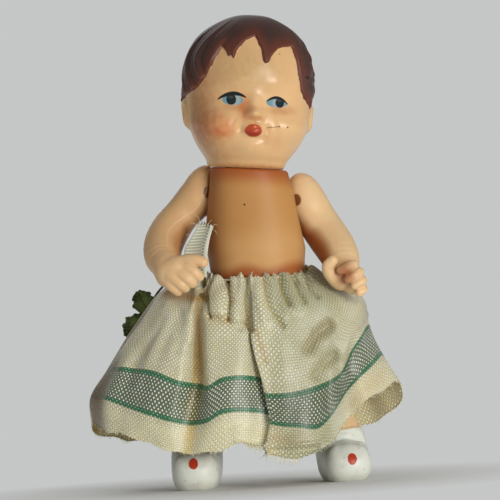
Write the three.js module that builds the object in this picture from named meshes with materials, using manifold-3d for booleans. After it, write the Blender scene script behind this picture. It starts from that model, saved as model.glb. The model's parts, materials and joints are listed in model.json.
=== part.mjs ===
// A small strung doll of soft vinyl, with a gathered ribbon skirt.
// Millimetres, +Z up. The face looks along -Y, and the doll's right side is at -X.
// The feet stand on the plane z = 0.

import * as THREE from 'three';
import { mergeVertices } from 'three/addons/utils/BufferGeometryUtils.js';
import Module from 'manifold-3d';

const wasm = await Module();
wasm.setup();

const degree = Math.PI / 180;

// Fits between pieces
const seatGap = 0.35;
const runningGap = 0.45;

// Torso: half widths and half depths at the levels that its outline turns at
const neckLevel = 66.9;
const shoulderLevel = 60.6;
const bellyLevel = 49.5;
const waistLevel = 44.2;
const hipLevel = 38;
const crotchLevel = 31.8;
const neckHalfWidth = 8.2;
const neckHalfDepth = 7.4;
const shoulderHalfWidth = 9.2;
const shoulderHalfDepth = 7.9;
const bellyHalfWidth = 10.4;
const bellyHalfDepth = 8.6;
const waistHalfWidth = 9.8;
const waistHalfDepth = 8.3;
const crotchHalfWidth = 5.2;
const crotchHalfDepth = 6.9;
const torsoWall = 1.2;
const torsoCentreX = -0.5;

// Head, measured from the flat ring that it rests on the torso with
const headHeight = 32.6;
const headHalfWidth = 13.6;
const headFront = 12.6;
const headBack = 14.2;
const headWall = 1.6;
const hairThickness = 0.6;
const headTilt = 6 * degree;
const headTurn = 6 * degree;
const neckX = -1.3;
const neckPlugRadius = 4.4;
const neckFlangeRadius = 5.1;
const neckFlangeThickness = 1.4;
const neckBoreRadius = 2.6;

// Face, measured on the head's own front
const eyeSpacing = 4.8;
const eyeLevel = 14.8;
const noseLevel = 11.3;
const noseHeight = 2.2;
const mouthLevel = 8.3;
const chinLevel = 4.6;
const cheekSpacing = 7.4;
const cheekLevel = 8.6;
const earLevel = 11.6;
const earHeight = 1.5;

// Arms
const shoulderAngle = 25 * degree;
const rightShoulderLevel = 62;
const leftShoulderLevel = 59.4;
const shoulderSeatRadius = 5.6;
const shoulderSeatDepth = 0.5;

// Legs
const hipInset = 5.9;
const hipY = 0.4;
const thighRadius = 4.5;
const footSpread = 15.6;
const soleHalfWidth = 4.7;
const toeReach = 12.4;
const heelReach = 4.6;
const instepHeight = 7.4;
const bootTop = 10.4;
const bootLip = 0.3;

// Elastic cords that string the limbs, and the pockets that hold their knots
const cordRadius = 0.6;
const knotRadius = 1.4;
const limbBoreRadius = 1.05;
const limbBoreDepth = 1.7;
const cordHoleRadius = 1.5;

// Skirt, a ribbon gathered on a thread
const clothThickness = 0.6;
const threadRadius = 0.25;
const skirtRightReach = 36.2;
const skirtLeftReach = 29.4;
const skirtFrontReach = 16.9;
const skirtBackReach = 15.3;
const skirtDrop = 38.9;
const gatherHeight = 0.9;

// Torn strap at the doll's right side of the waist
const strapWidth = 4.6;
const strapLength = 11;
const strapThickness = 0.5;

// Leaf sprig behind the skirt
const leafThickness = 0.5;
const stemRadius = 0.35;
const sprigTurn = -124;
const sprigPlace = 0.31;
const stemReach = 4.2;
const stemRise = 2.4;

// Solids and meshes
function solidFrom(geometry) {
  const plain = geometry.clone();
  plain.deleteAttribute('normal');
  plain.deleteAttribute('uv');
  const merged = mergeVertices(plain, 1e-4);
  return new wasm.Manifold(new wasm.Mesh({
    numProp: 3,
    vertProperties: new Float32Array(merged.attributes.position.array),
    triVerts: new Uint32Array(merged.index.array),
  }));
}

function geometryFrom(solid) {
  const mesh = solid.getMesh();
  const geometry = new THREE.BufferGeometry();
  geometry.setAttribute('position', new THREE.BufferAttribute(new Float32Array(mesh.vertProperties), 3));
  geometry.setIndex(new THREE.BufferAttribute(new Uint32Array(mesh.triVerts), 1));
  geometry.computeVertexNormals();
  return geometry;
}

// One body from solids that run into each other, without the slivers of space that they close in
function join(solids) {
  const whole = solids.reduce((body, solid) => body.add(solid));
  return whole.decompose().sort((a, b) => b.volume() - a.volume())[0];
}

// A closed surface through rings of points, with a tip point at each end
function loftGeometry(rings, startTip, endTip) {
  const sides = rings[0].length;
  const points = [...rings.flat(), startTip, endTip];
  const start = points.length - 2;
  const end = points.length - 1;
  const faces = [];
  for (let side = 0; side < sides; side += 1) {
    const next = (side + 1) % sides;
    const last = (rings.length - 1) * sides;
    faces.push([start, next, side], [end, last + side, last + next]);
    for (let row = 0; row < rings.length - 1; row += 1) {
      const low = row * sides;
      const high = low + sides;
      faces.push([low + side, low + next, high + next], [low + side, high + next, high + side]);
    }
  }
  return closedGeometry(points, faces);
}

// An indexed geometry whose faces are turned to point out
function closedGeometry(points, faces) {
  let volume = 0;
  for (const [a, b, c] of faces) {
    volume += points[a].dot(points[b].clone().cross(points[c]));
  }
  const outward = volume < 0 ? faces.map(([a, b, c]) => [a, c, b]) : faces;
  const geometry = new THREE.BufferGeometry();
  geometry.setAttribute('position', new THREE.BufferAttribute(
    new Float32Array(points.flatMap((point) => [point.x, point.y, point.z])), 3));
  geometry.setIndex(outward.flat());
  geometry.computeVertexNormals();
  return geometry;
}

// A smooth blend through the rows of a table, with place from 0 to 1
function rowAt(table, place) {
  const span = Math.min(Math.max(place, 0), 1) * (table.length - 1);
  const index = Math.min(Math.floor(span), table.length - 2);
  const t = span - index;
  const before = table[Math.max(index - 1, 0)];
  const after = table[Math.min(index + 2, table.length - 1)];
  return table[index].map((value, column) => {
    const next = table[index + 1][column];
    const slopeIn = (next - before[column]) / 2;
    const slopeOut = (after[column] - value) / 2;
    return (2 * t ** 3 - 3 * t ** 2 + 1) * value + (t ** 3 - 2 * t ** 2 + t) * slopeIn
      + (3 * t ** 2 - 2 * t ** 3) * next + (t ** 3 - t ** 2) * slopeOut;
  });
}

function bump(distance, width) {
  return Math.exp(-((distance / width) ** 2));
}

// A point of an oval section: fullness over 2 squares the oval's corners
function ovalPoint(angle, halfWidth, front, back, fullness) {
  const power = 2 / fullness;
  const across = Math.sin(angle);
  const along = -Math.cos(angle);
  const depth = along < 0 ? front : back;
  return new THREE.Vector2(
    halfWidth * Math.sign(across) * Math.abs(across) ** power,
    depth * Math.sign(along) * Math.abs(along) ** power,
  );
}

// A round tube through stations [x, y, z, radius], with round ends
function tubeGeometry(stations, sides, steps) {
  const curve = new THREE.CatmullRomCurve3(stations.map(([x, y, z]) => new THREE.Vector3(x, y, z)));
  const length = curve.getLength();
  const radii = stations.map((station) => [station[3]]);
  const startRadius = radii[0][0];
  const endRadius = radii[radii.length - 1][0];
  const capSteps = sides > 12 ? 3 : 2;
  const cuts = [];
  for (let step = 1; step <= capSteps; step += 1) {
    const angle = (step / capSteps) * Math.PI / 2;
    cuts.push([startRadius * (1 - Math.cos(angle)), Math.sin(angle)]);
  }
  const plain = length - startRadius - endRadius;
  for (let step = 1; step < steps; step += 1) {
    cuts.push([startRadius + plain * step / steps, 1]);
  }
  for (let step = capSteps; step >= 1; step -= 1) {
    const angle = (step / capSteps) * Math.PI / 2;
    cuts.push([length - endRadius * (1 - Math.cos(angle)), Math.sin(angle)]);
  }
  const firstTangent = curve.getTangentAt(0);
  let sideways = Math.abs(firstTangent.x) > 0.8 ? new THREE.Vector3(0, 1, 0) : new THREE.Vector3(1, 0, 0);
  const rings = cuts.map(([distance, scale]) => {
    const place = distance / length;
    const centre = curve.getPointAt(place);
    const tangent = curve.getTangentAt(place);
    sideways = sideways.clone().addScaledVector(tangent, -sideways.dot(tangent)).normalize();
    const upward = tangent.clone().cross(sideways);
    const radius = rowAt(radii, curve.getUtoTmapping(place))[0] * scale;
    return Array.from({ length: sides }, (_, side) => {
      const angle = side / sides * 2 * Math.PI;
      return centre.clone()
        .addScaledVector(sideways, radius * Math.cos(angle))
        .addScaledVector(upward, radius * Math.sin(angle));
    });
  });
  return loftGeometry(rings, curve.getPointAt(0), curve.getPointAt(1));
}

// A round piece turned about Z, from a list of [radius, height]
function turned(profile, sides) {
  const geometry = new THREE.LatheGeometry(profile.map(([radius, height]) => new THREE.Vector2(radius, height)), sides);
  return geometry.rotateX(Math.PI / 2);
}

// Frames that the head and the arms are seated in
const neckFrame = new THREE.Matrix4()
  .makeTranslation(neckX, 0, neckLevel)
  .multiply(new THREE.Matrix4().makeRotationY(headTilt))
  .multiply(new THREE.Matrix4().makeRotationZ(headTurn));

const shoulderReach = Math.hypot(
  shoulderHalfWidth * Math.cos(shoulderAngle), shoulderHalfDepth * Math.sin(shoulderAngle)) - shoulderSeatDepth;

function shoulderPivot(side, level) {
  const reach = shoulderReach + seatGap;
  const seatX = shoulderHalfWidth ** 2 * Math.cos(shoulderAngle) / (shoulderReach + shoulderSeatDepth);
  const seatY = shoulderHalfDepth ** 2 * Math.sin(shoulderAngle) / (shoulderReach + shoulderSeatDepth);
  const along = reach - seatX * Math.cos(shoulderAngle) - seatY * Math.sin(shoulderAngle);
  return new THREE.Vector3(
    torsoCentreX + side * (seatX + along * Math.cos(shoulderAngle)),
    seatY + along * Math.sin(shoulderAngle),
    level,
  );
}

// Local X points out along the hinge axis, local Z up, and the origin lies on the arm's flat inner face
function shoulderFrame(side, level) {
  const turn = side > 0 ? shoulderAngle : Math.PI - shoulderAngle;
  const pivot = shoulderPivot(side, level);
  return new THREE.Matrix4()
    .makeTranslation(pivot.x, pivot.y, pivot.z)
    .multiply(new THREE.Matrix4().makeRotationZ(turn));
}

const rightShoulder = shoulderFrame(-1, rightShoulderLevel);
const leftShoulder = shoulderFrame(1, leftShoulderLevel);

function hipFrame(side) {
  const turn = side > 0 ? 0 : Math.PI;
  return new THREE.Matrix4()
    .makeTranslation(torsoCentreX + side * hipInset, hipY, hipLevel)
    .multiply(new THREE.Matrix4().makeRotationZ(turn));
}

// A round cutter along the local X axis of a frame
function axialCylinder(radius, from, to, sides) {
  return new THREE.CylinderGeometry(radius, radius, to - from, sides)
    .rotateZ(Math.PI / 2)
    .translate((from + to) / 2, 0, 0);
}

// A bore from a limb's inner face, and the pocket behind it that the cord's knot sits in
function knotPocket(frame) {
  const pocketRadius = knotRadius + runningGap;
  const bore = axialCylinder(limbBoreRadius, -1, limbBoreDepth + pocketRadius, 12);
  const pocket = new THREE.SphereGeometry(pocketRadius, 12, 8)
    .rotateZ(Math.PI / 2)
    .translate(limbBoreDepth + knotRadius, 0, 0);
  return solidFrom(bore).add(solidFrom(pocket)).transform(frame.elements);
}

// Head
const headRows = [
  [0.0, 0.56, 0.62, 0.50],
  [0.05, 0.66, 0.76, 0.56],
  [0.14, 0.79, 0.90, 0.64],
  [0.25, 0.90, 0.97, 0.76],
  [0.36, 0.955, 0.975, 0.88],
  [0.46, 0.985, 0.96, 0.96],
  [0.57, 1.0, 0.985, 1.0],
  [0.68, 0.98, 0.97, 0.98],
  [0.78, 0.90, 0.88, 0.90],
  [0.87, 0.745, 0.73, 0.74],
  [0.94, 0.52, 0.51, 0.53],
  [0.985, 0.26, 0.26, 0.27],
  [1.0, 0.0, 0.0, 0.0],
];

// The lower edge of the hair: [degrees round from the face's centre, height]
const hairline = [
  [-180, 5.2], [-140, 6.2], [-115, 9.4], [-96, 14.2], [-56, 17.9], [-45, 20.4], [-38, 24.2], [-34, 25.7],
  [-29, 24.0], [-20, 23.6], [-17, 25.6], [-9, 27.5], [-2, 28.3], [3, 26.2], [6, 22.9], [11, 22.7],
  [14, 23.3], [20, 25.1], [32, 26.3], [42, 26.6], [45, 20.2], [51, 16.6], [62, 14.7], [84, 13.6],
  [112, 9.4], [140, 6.2], [180, 5.2],
];

function hairlineHeight(angle) {
  const turn = angle / degree;
  const index = Math.min(Math.max(hairline.findIndex(([at]) => at >= turn), 1), hairline.length - 1);
  const [fromTurn, fromHeight] = hairline[index - 1];
  const [toTurn, toHeight] = hairline[index];
  return fromHeight + (toHeight - fromHeight) * (turn - fromTurn) / (toTurn - fromTurn);
}

// How far the face stands out of the head's oval at a place on its front
function faceRelief(x, z) {
  const side = Math.abs(x);
  return noseHeight * bump(x, 1.35) * bump(z - noseLevel, 1.3)
    + 0.7 * bump(x, 1.3) * bump(z - noseLevel - 2.4, 1.9)
    + 0.5 * bump(side - 1.5, 0.8) * bump(z - noseLevel + 0.6, 0.8)
    - 0.9 * bump(side - eyeSpacing, 2.6) * bump(z - eyeLevel + 0.4, 1.8)
    + 0.5 * bump(side - eyeSpacing, 1.9) * bump(z - eyeLevel, 1.1)
    + 0.4 * bump(side - eyeSpacing, 3.6) * bump(z - eyeLevel - 3.2, 1.6)
    + 1.3 * bump(side - cheekSpacing, 3.8) * bump(z - cheekLevel, 3.2)
    + 0.9 * bump(x, 1.9) * bump(z - mouthLevel, 1.2)
    - 0.5 * bump(side - 2.6, 0.9) * bump(z - mouthLevel, 1.2)
    - 0.4 * bump(x, 2.4) * bump(z - (mouthLevel + chinLevel) / 2, 0.8)
    + 1.1 * bump(x, 2.9) * bump(z - chinLevel, 1.9);
}

function headPoint(angle, place) {
  const [height, width, front, back] = rowAt(headRows, place);
  const fullness = 2 + 0.35 * bump(height - 0.25, 0.25);
  const flat = ovalPoint(angle, width * headHalfWidth, front * headFront, back * headBack, fullness);
  const z = height * headHeight;
  const outward = flat.clone().normalize();
  let relief = 0;
  if (flat.y < 0) {
    relief += faceRelief(flat.x, z) * Math.min(1, -flat.y / 4);
  }
  relief += earHeight * bump(flat.y - 0.6, 1.5) * bump(z - earLevel, 2.6);
  const above = (z - hairlineHeight(angle)) / 0.8;
  const crown = Math.min(1, 6 * (1 - height));
  relief += hairThickness * crown * Math.min(1, Math.max(0, above));
  return new THREE.Vector3(flat.x + outward.x * relief, flat.y + outward.y * relief, z);
}

function headSolid() {
  const columns = 52;
  const rows = 32;
  const rings = [];
  for (let row = 0; row < rows; row += 1) {
    const place = row / rows;
    rings.push(Array.from({ length: columns }, (_, column) => {
      const even = (column / columns * 2 - 1) * Math.PI;
      return headPoint(even - 0.35 * Math.sin(even), place);
    }));
  }
  const outside = solidFrom(loftGeometry(
    rings, new THREE.Vector3(0, 0, 0), new THREE.Vector3(0, 0, headHeight)));
  const hollow = solidFrom(hollowHeadGeometry());
  const bore = solidFrom(turned([[0, -10], [neckBoreRadius, -10], [neckBoreRadius, 8], [0, 8]], 20));
  return outside.add(neckPlug()).subtract(hollow).subtract(bore).transform(neckFrame.elements);
}

// The hollow inside the head, one wall in from its outside
function hollowHeadGeometry() {
  const columns = 20;
  const rows = 10;
  const inside = 1 - 2 * headWall / headHeight;
  const rings = [];
  for (let row = 1; row < rows; row += 1) {
    const [height, width, front, back] = rowAt(headRows, row / rows);
    rings.push(Array.from({ length: columns }, (_, column) => {
      const angle = column / columns * 2 * Math.PI;
      const flat = ovalPoint(angle, width * headHalfWidth - headWall,
        front * headFront - headWall, back * headBack - headWall, 2);
      return new THREE.Vector3(flat.x, flat.y, headWall + height * headHeight * inside);
    }));
  }
  return loftGeometry(rings, new THREE.Vector3(0, 0, headWall + rowAt(headRows, 0.5 / rows)[0] * headHeight),
    new THREE.Vector3(0, 0, headHeight - headWall));
}

// The neck passes through the torso's wall and ends in a flange that snaps in behind it
const neckPlugLength = torsoWall + 2 * seatGap + neckFlangeThickness;

function neckPlug() {
  const flangeTop = -neckPlugLength + neckFlangeThickness;
  return solidFrom(turned([
    [0, -neckPlugLength],
    [neckPlugRadius, -neckPlugLength],
    [neckFlangeRadius, flangeTop - neckFlangeThickness / 2],
    [neckFlangeRadius, flangeTop],
    [neckPlugRadius, flangeTop],
    [neckPlugRadius, 0.5],
    [0, 0.5],
  ], 28));
}

// Torso
const torsoRows = [
  [0, 0.3, 0.3, 0],
  [0.01, 0.62, 0.55, 0.1],
  [0.08, 0.93, 0.83, 0.2],
  [0.22, 1, 1, 0.3],
];

function torsoSection(level, halfWidth, front, back, sides) {
  return Array.from({ length: sides }, (_, side) => {
    const flat = ovalPoint(side / sides * 2 * Math.PI, halfWidth, front, back, 2.2);
    return new THREE.Vector3(torsoCentreX + flat.x, flat.y, level);
  });
}

// Rings from the crotch up; inset is the wall that the hollow inside is drawn in by
function torsoGeometry(inset, sides) {
  const shelf = hipLevel + thighRadius + seatGap;
  const rings = [];
  for (const [rise, width, depth] of torsoRows) {
    const level = crotchLevel + inset + rise * (shelf - crotchLevel);
    rings.push(torsoSection(level, crotchHalfWidth * width - inset * width,
      crotchHalfDepth * depth - inset * depth, crotchHalfDepth * depth - inset * depth, sides));
  }
  rings.push(torsoSection(shelf + inset, crotchHalfWidth - inset,
    waistHalfDepth - 0.5 - inset, waistHalfDepth - 0.2 - inset, sides));
  const upper = [
    [shelf + inset + 0.05, waistHalfWidth - 0.5, waistHalfDepth - 0.4, waistHalfDepth - 0.2],
    [waistLevel + inset, waistHalfWidth, waistHalfDepth, waistHalfDepth],
    [bellyLevel, bellyHalfWidth, bellyHalfDepth, bellyHalfDepth - 0.7],
    [(bellyLevel + shoulderLevel) / 2, (bellyHalfWidth + shoulderHalfWidth) / 2 + 0.1,
      (bellyHalfDepth + shoulderHalfDepth) / 2, (bellyHalfDepth + shoulderHalfDepth) / 2 - 0.4],
    [shoulderLevel, shoulderHalfWidth, shoulderHalfDepth, shoulderHalfDepth - 0.1],
    [neckLevel - 2, neckHalfWidth + 0.35, neckHalfDepth + 0.3, neckHalfDepth + 0.3],
    [neckLevel + 2 - 2 * inset, neckHalfWidth, neckHalfDepth, neckHalfDepth],
  ];
  for (const [level, width, front, back] of upper) {
    rings.push(torsoSection(level, width - inset, front - inset, back - inset, sides));
  }
  return loftGeometry(rings, new THREE.Vector3(torsoCentreX, 0, crotchLevel + inset),
    new THREE.Vector3(torsoCentreX, 0, neckLevel + 2 - 2 * inset));
}

// A large block that lies above z = height of a frame, or beyond x = height when turned on its side
function blockAbove(height, frame, sideways) {
  const size = 80;
  const block = new THREE.BoxGeometry(size, size, size);
  if (sideways) {
    block.translate(height + size / 2, 0, 0);
  } else {
    block.translate(0, 0, height + size / 2);
  }
  return solidFrom(block).transform(frame.elements);
}

// The disc of space that an arm's round shoulder turns in
function shoulderDisc(frame) {
  return solidFrom(axialCylinder(shoulderSeatRadius - seatGap, -seatGap, 8, 36)).transform(frame.elements);
}

function torsoSolid() {
  const outside = solidFrom(torsoGeometry(0, 36)).subtract(blockAbove(-seatGap, neckFrame, false));
  const hollow = solidFrom(torsoGeometry(torsoWall, 24))
    .subtract(blockAbove(-seatGap - torsoWall, neckFrame, false));
  const neckHole = solidFrom(turned([
    [0, -4], [neckPlugRadius + runningGap, -4], [neckPlugRadius + runningGap, 1], [0, 1],
  ], 28)).transform(neckFrame.elements);
  const cuts = [hollow, neckHole];
  for (const frame of [rightShoulder, leftShoulder]) {
    const seat = axialCylinder(shoulderSeatRadius, -seatGap, 8, 36);
    const hole = axialCylinder(cordHoleRadius, -8, 2, 16);
    cuts.push(solidFrom(seat).transform(frame.elements), solidFrom(hole).transform(frame.elements));
  }
  const legHole = axialCylinder(cordHoleRadius, -hipInset - 1, hipInset + 1, 16);
  legHole.translate(torsoCentreX, hipY, hipLevel);
  cuts.push(solidFrom(legHole));
  return cuts.reduce((body, cut) => body.subtract(cut), outside);
}

// Arms: stations [x, y, z, radius] from the shoulder to the heel of the hand, then the digits
const rightArm = {
  frame: rightShoulder,
  limb: [
    [-9.9, 3.2, 66.8, 1.8], [-10.4, 3.1, 64.6, 3.4], [-11.9, 3.0, 61.4, 4.2], [-15.0, 2.7, 58.0, 4.15],
    [-17.9, 1.4, 54.9, 4.1], [-19.5, -1.0, 51.9, 4.15], [-19.9, -4.4, 49.3, 3.8], [-19.3, -7.8, 47.2, 3.0],
    [-18.4, -10.4, 45.7, 2.6], [-17.3, -11.6, 44.6, 2.3],
  ],
  palm: [[-19.6, -9.8, 44.9, 2.2], [-17.8, -10.9, 45.4, 2.6], [-15.8, -11.3, 46.2, 2.2]],
  digits: [
    [[-17.6, -10.6, 47.2, 1.5], [-14.8, -11.4, 48.2, 1.4], [-12.6, -12.0, 47.9, 1.3], [-11.2, -12.2, 47.4, 1.15]],
    [[-16.6, -11.8, 46.4, 1.4], [-14.2, -12.8, 46.2, 1.4], [-12.5, -12.6, 45.4, 1.3], [-11.9, -11.4, 44.6, 1.1]],
    [[-17.4, -11.8, 45.4, 1.4], [-15.4, -12.9, 44.7, 1.4], [-13.9, -12.7, 43.6, 1.3], [-13.3, -11.4, 42.9, 1.1]],
    [[-18.4, -11.4, 44.5, 1.4], [-16.9, -12.5, 43.6, 1.35], [-15.6, -12.3, 42.3, 1.2], [-15.1, -11.2, 41.7, 1.0]],
    [[-19.4, -10.6, 44.0, 1.4], [-18.4, -11.6, 43.0, 1.3], [-17.3, -11.5, 41.8, 1.15], [-16.8, -10.6, 41.3, 0.95]],
  ],
};

const leftArm = {
  frame: leftShoulder,
  limb: [
    [9.9, 3.2, 64.0, 1.8], [10.4, 3.1, 61.8, 3.6], [11.2, 3.0, 58.9, 4.3], [12.9, 2.7, 55.4, 4.3],
    [14.7, 1.6, 52.3, 4.35], [16.4, -1.0, 49.4, 4.3], [17.6, -4.2, 46.8, 3.9], [18.1, -7.2, 44.4, 3.2],
    [18.0, -9.2, 42.8, 2.8], [17.6, -10.2, 41.9, 2.4],
  ],
  palm: [[15.6, -9.8, 43.4, 2.2], [17.4, -9.9, 42.2, 2.7], [19.5, -9.6, 40.6, 2.3]],
  digits: [
    [[15.4, -9.8, 42.6, 1.7], [14.4, -10.9, 44.6, 1.5], [14.6, -11.8, 46.4, 1.3], [16.2, -12.1, 46.8, 1.15]],
    [[19.6, -9.8, 43.4, 1.4], [20.6, -11.4, 44.4, 1.35], [19.4, -12.9, 44.6, 1.25], [17.4, -12.8, 43.7, 1.05]],
    [[20.2, -9.8, 42.2, 1.4], [21.3, -11.4, 42.8, 1.35], [20.3, -12.9, 42.9, 1.25], [18.5, -12.8, 42.0, 1.05]],
    [[20.6, -9.6, 40.8, 1.4], [21.7, -11.1, 41.2, 1.3], [21.0, -12.5, 41.0, 1.2], [19.6, -12.3, 40.2, 1.0]],
    [[20.6, -9.2, 39.6, 1.3], [21.6, -10.4, 39.6, 1.2], [21.4, -11.5, 39.2, 1.1], [20.6, -11.5, 38.6, 0.95]],
  ],
};

function armSolid(arm) {
  const limb = solidFrom(tubeGeometry(arm.limb, 16, 10));
  const palm = solidFrom(tubeGeometry(arm.palm, 10, 2));
  const digits = arm.digits.map((digit) => solidFrom(tubeGeometry(digit, 7, 3)));
  const whole = join([limb, palm, ...digits]);
  const torsoSide = blockAbove(-80, arm.frame, true);
  const belly = solidFrom(torsoGeometry(-seatGap, 36));
  return whole.subtract(torsoSide).subtract(belly.subtract(shoulderDisc(arm.frame)))
    .subtract(knotPocket(arm.frame));
}

// Legs with moulded ankle boots
function legSolid(side) {
  const hipX = torsoCentreX + side * (hipInset + thighRadius - 0.2);
  const footX = side * footSpread;
  const turnOut = side > 0 ? 8 * degree : 2 * degree;
  const lean = (place) => hipX + (footX - hipX) * place;
  const limb = [
    [hipX, hipY, hipLevel + thighRadius - 1.6, 1.6],
    [hipX + side * 0.1, hipY, hipLevel + 1.2, thighRadius - 0.25],
    [lean(0.12), hipY, hipLevel - 4, thighRadius],
    [lean(0.36), hipY - 0.2, hipLevel - 12, thighRadius],
    [lean(0.56), hipY, hipLevel - 19.5, thighRadius - 0.5],
    [lean(0.7), hipY + 0.2, hipLevel - 24, thighRadius - 0.35],
    [lean(0.86), hipY, bootTop, thighRadius - 0.3 + bootLip],
    [footX, -0.4, 4, thighRadius],
    [footX, -0.4, 1, thighRadius - 1],
  ];
  const bootEdge = turned([
    [0, bootTop - 2.4], [thighRadius - 0.1, bootTop - 2.4], [thighRadius + bootLip, bootTop - 0.4],
    [thighRadius + bootLip - 0.2, bootTop], [0, bootTop],
  ], 18).translate(lean(0.87), hipY - 0.1, 0);
  const foot = footGeometry().rotateZ(side * turnOut).translate(footX, 0, 0);
  const floor = blockAbove(0, new THREE.Matrix4(), false);
  const torsoSide = blockAbove(-80, hipFrame(side), true);
  return join([solidFrom(tubeGeometry(limb, 18, 12)), solidFrom(bootEdge), solidFrom(foot)])
    .intersect(floor)
    .subtract(torsoSide)
    .subtract(knotPocket(hipFrame(side)));
}

// The foot runs from the heel forward to the toe, and the floor cuts its sole flat
function footGeometry() {
  const sides = 16;
  const rows = [
    [heelReach - 0.1, 0.35, 2.6],
    [heelReach - 1.2, 0.72, 5.6],
    [heelReach - 3.4, 0.92, 8.4],
    [-1.5, 0.93, 8.8],
    [-4.5, 0.97, instepHeight],
    [-7.8, 1, 6.2],
    [1.9 - toeReach, 0.86, 5.0],
    [0.7 - toeReach, 0.6, 3.8],
    [0.1 - toeReach, 0.3, 2.4],
  ];
  const rings = rows.map(([y, width, height]) => Array.from({ length: sides }, (_, side) => {
    const angle = side / sides * 2 * Math.PI;
    const flat = ovalPoint(angle, width * soleHalfWidth, height / 2 + 0.5, height / 2 + 0.5, 2.4);
    return new THREE.Vector3(flat.x, y, height / 2 - 0.5 + flat.y);
  }));
  return loftGeometry(rings, new THREE.Vector3(0, heelReach, 1), new THREE.Vector3(0, -toeReach, 1));
}

// Elastic cords: a round cord with a knot at each end, inside the limbs' pockets
function elasticSolid(startFrame, endFrame, middle) {
  const knotPlace = limbBoreDepth + knotRadius;
  const at = (frame, distance) => new THREE.Vector3(distance, 0, 0).applyMatrix4(frame);
  const path = [
    at(startFrame, knotPlace), at(startFrame, 0), at(startFrame, -3), ...middle,
    at(endFrame, -3), at(endFrame, 0), at(endFrame, knotPlace),
  ];
  const stations = path.map((point) => [point.x, point.y, point.z, cordRadius]);
  const knots = [startFrame, endFrame].map((frame) => {
    const centre = at(frame, knotPlace);
    return solidFrom(new THREE.SphereGeometry(knotRadius, 10, 6).translate(centre.x, centre.y, centre.z));
  });
  return join([solidFrom(tubeGeometry(stations, 6, 12)), ...knots]);
}

// Skirt: the cloth is set out by columns round the waist, each with six levels from waist to hem.
// Shares of the cloth's reach to each side and to the front and back, and of its drop, at each level
const waistFit = seatGap * 2 + 2 * threadRadius + clothThickness;
const skirtLevels = [0, 0.17, 0.37, 0.64, 0.83, 1];
const foldLevels = [0, 0.17, 0.55, 1];
const rightShares = [0.555, 0.732, 0.906, 1, 1];
const leftShares = [0.728, 0.786, 0.81, 0.898, 1];
const frontShares = [0.763, 0.858, 0.953, 1, 1];
const backShares = [0.804, 0.882, 0.948, 0.987, 1];
const rightDrops = [0.072, 0.257, 0.488, 0.627, 0.756];
const leftDrops = [0.167, 0.247, 0.334, 0.494, 0.643];
const backDrops = [0.154, 0.339, 0.591, 0.766, 0.915];

// Front columns: degrees round from the front, how far the fold stands out below the waist, in the
// middle and at the hem, then the shares of the side reach and of the drop below the waist
const frontColumns = [
  [-90, [0, 0, 0], [-0.555, -0.732, -0.906, -1, -1], [0.072, 0.257, 0.488, 0.627, 0.756]],
  [-86, [-0.3, -0.9, -0.6], [-0.544, -0.715, -0.87, -0.959, -0.961], [0.077, 0.26, 0.478, 0.632, 0.781]],
  [-80, [0.2, 0.7, 0.9], [-0.528, -0.682, -0.82, -0.903, -0.914], [0.082, 0.262, 0.465, 0.638, 0.807]],
  [-70, [0.6, 0.4, 0.6], [-0.492, -0.616, -0.74, -0.804, -0.82], [0.095, 0.278, 0.478, 0.676, 0.823]],
  [-62, [0.8, 1.1, 1], [-0.436, -0.528, -0.61, -0.671, -0.682], [0.113, 0.298, 0.519, 0.725, 0.874]],
  [-54, [1, 1.4, 0.8], [-0.367, -0.428, -0.483, -0.539, -0.55], [0.129, 0.314, 0.576, 0.769, 0.925]],
  [-48, [-1.2, -2.3, -0.3], [-0.329, -0.359, -0.37, -0.412, -0.434], [0.134, 0.326, 0.596, 0.794, 0.946]],
  [-41, [0.6, 0.9, 0.2], [-0.29, -0.304, -0.304, -0.318, -0.345], [0.136, 0.332, 0.599, 0.779, 0.943]],
  [-32, [0.7, 0.9, 0.9], [-0.224, -0.235, -0.24, -0.254, -0.268], [0.141, 0.332, 0.558, 0.746, 0.938]],
  [-20, [0.5, 0.8, 0.9], [-0.135, -0.149, -0.169, -0.18, -0.185], [0.147, 0.334, 0.548, 0.735, 0.91]],
  [-11, [-0.3, 0, 0.2], [-0.075, -0.083, -0.08, -0.088, -0.108], [0.152, 0.339, 0.55, 0.74, 0.905]],
  [-6, [-1.1, -2.2, -1], [-0.039, -0.022, -0.003, -0.014, -0.041], [0.154, 0.342, 0.566, 0.751, 0.92]],
  [-4, [-1.3, -2.7, -1.5], [-0.017, 0.041, 0.082, 0.075, 0.031], [0.154, 0.344, 0.602, 0.771, 0.936]],
  [-2, [0.2, 0.6, 0.3], [-0.036, -0.044, 0.01, 0.031, -0.019], [0.154, 0.342, 0.648, 0.807, 0.956]],
  [5, [0.9, 0.9, 0.8], [0.031, 0.037, 0.082, 0.105, 0.065], [0.157, 0.347, 0.656, 0.823, 0.982]],
  [15, [0.4, 0.9, 1.1], [0.153, 0.194, 0.235, 0.241, 0.228], [0.162, 0.352, 0.653, 0.838, 0.997]],
  [26, [0.4, -0.2, 1.2], [0.269, 0.33, 0.371, 0.371, 0.378], [0.167, 0.36, 0.632, 0.851, 0.967]],
  [36, [0.5, -0.9, -0.3], [0.367, 0.435, 0.473, 0.473, 0.493], [0.154, 0.344, 0.607, 0.794, 0.907]],
  [48, [0.7, 0.5, -0.6], [0.459, 0.534, 0.575, 0.588, 0.609], [0.139, 0.308, 0.555, 0.674, 0.799]],
  [60, [0.4, 1, 0.7], [0.551, 0.643, 0.656, 0.697, 0.738], [0.139, 0.278, 0.437, 0.591, 0.715]],
  [72, [0.3, 0.5, 0.4], [0.639, 0.724, 0.731, 0.793, 0.864], [0.152, 0.257, 0.36, 0.535, 0.666]],
  [82, [0, 0, 0], [0.724, 0.786, 0.81, 0.898, 1], [0.167, 0.247, 0.334, 0.494, 0.643]],
];

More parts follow.
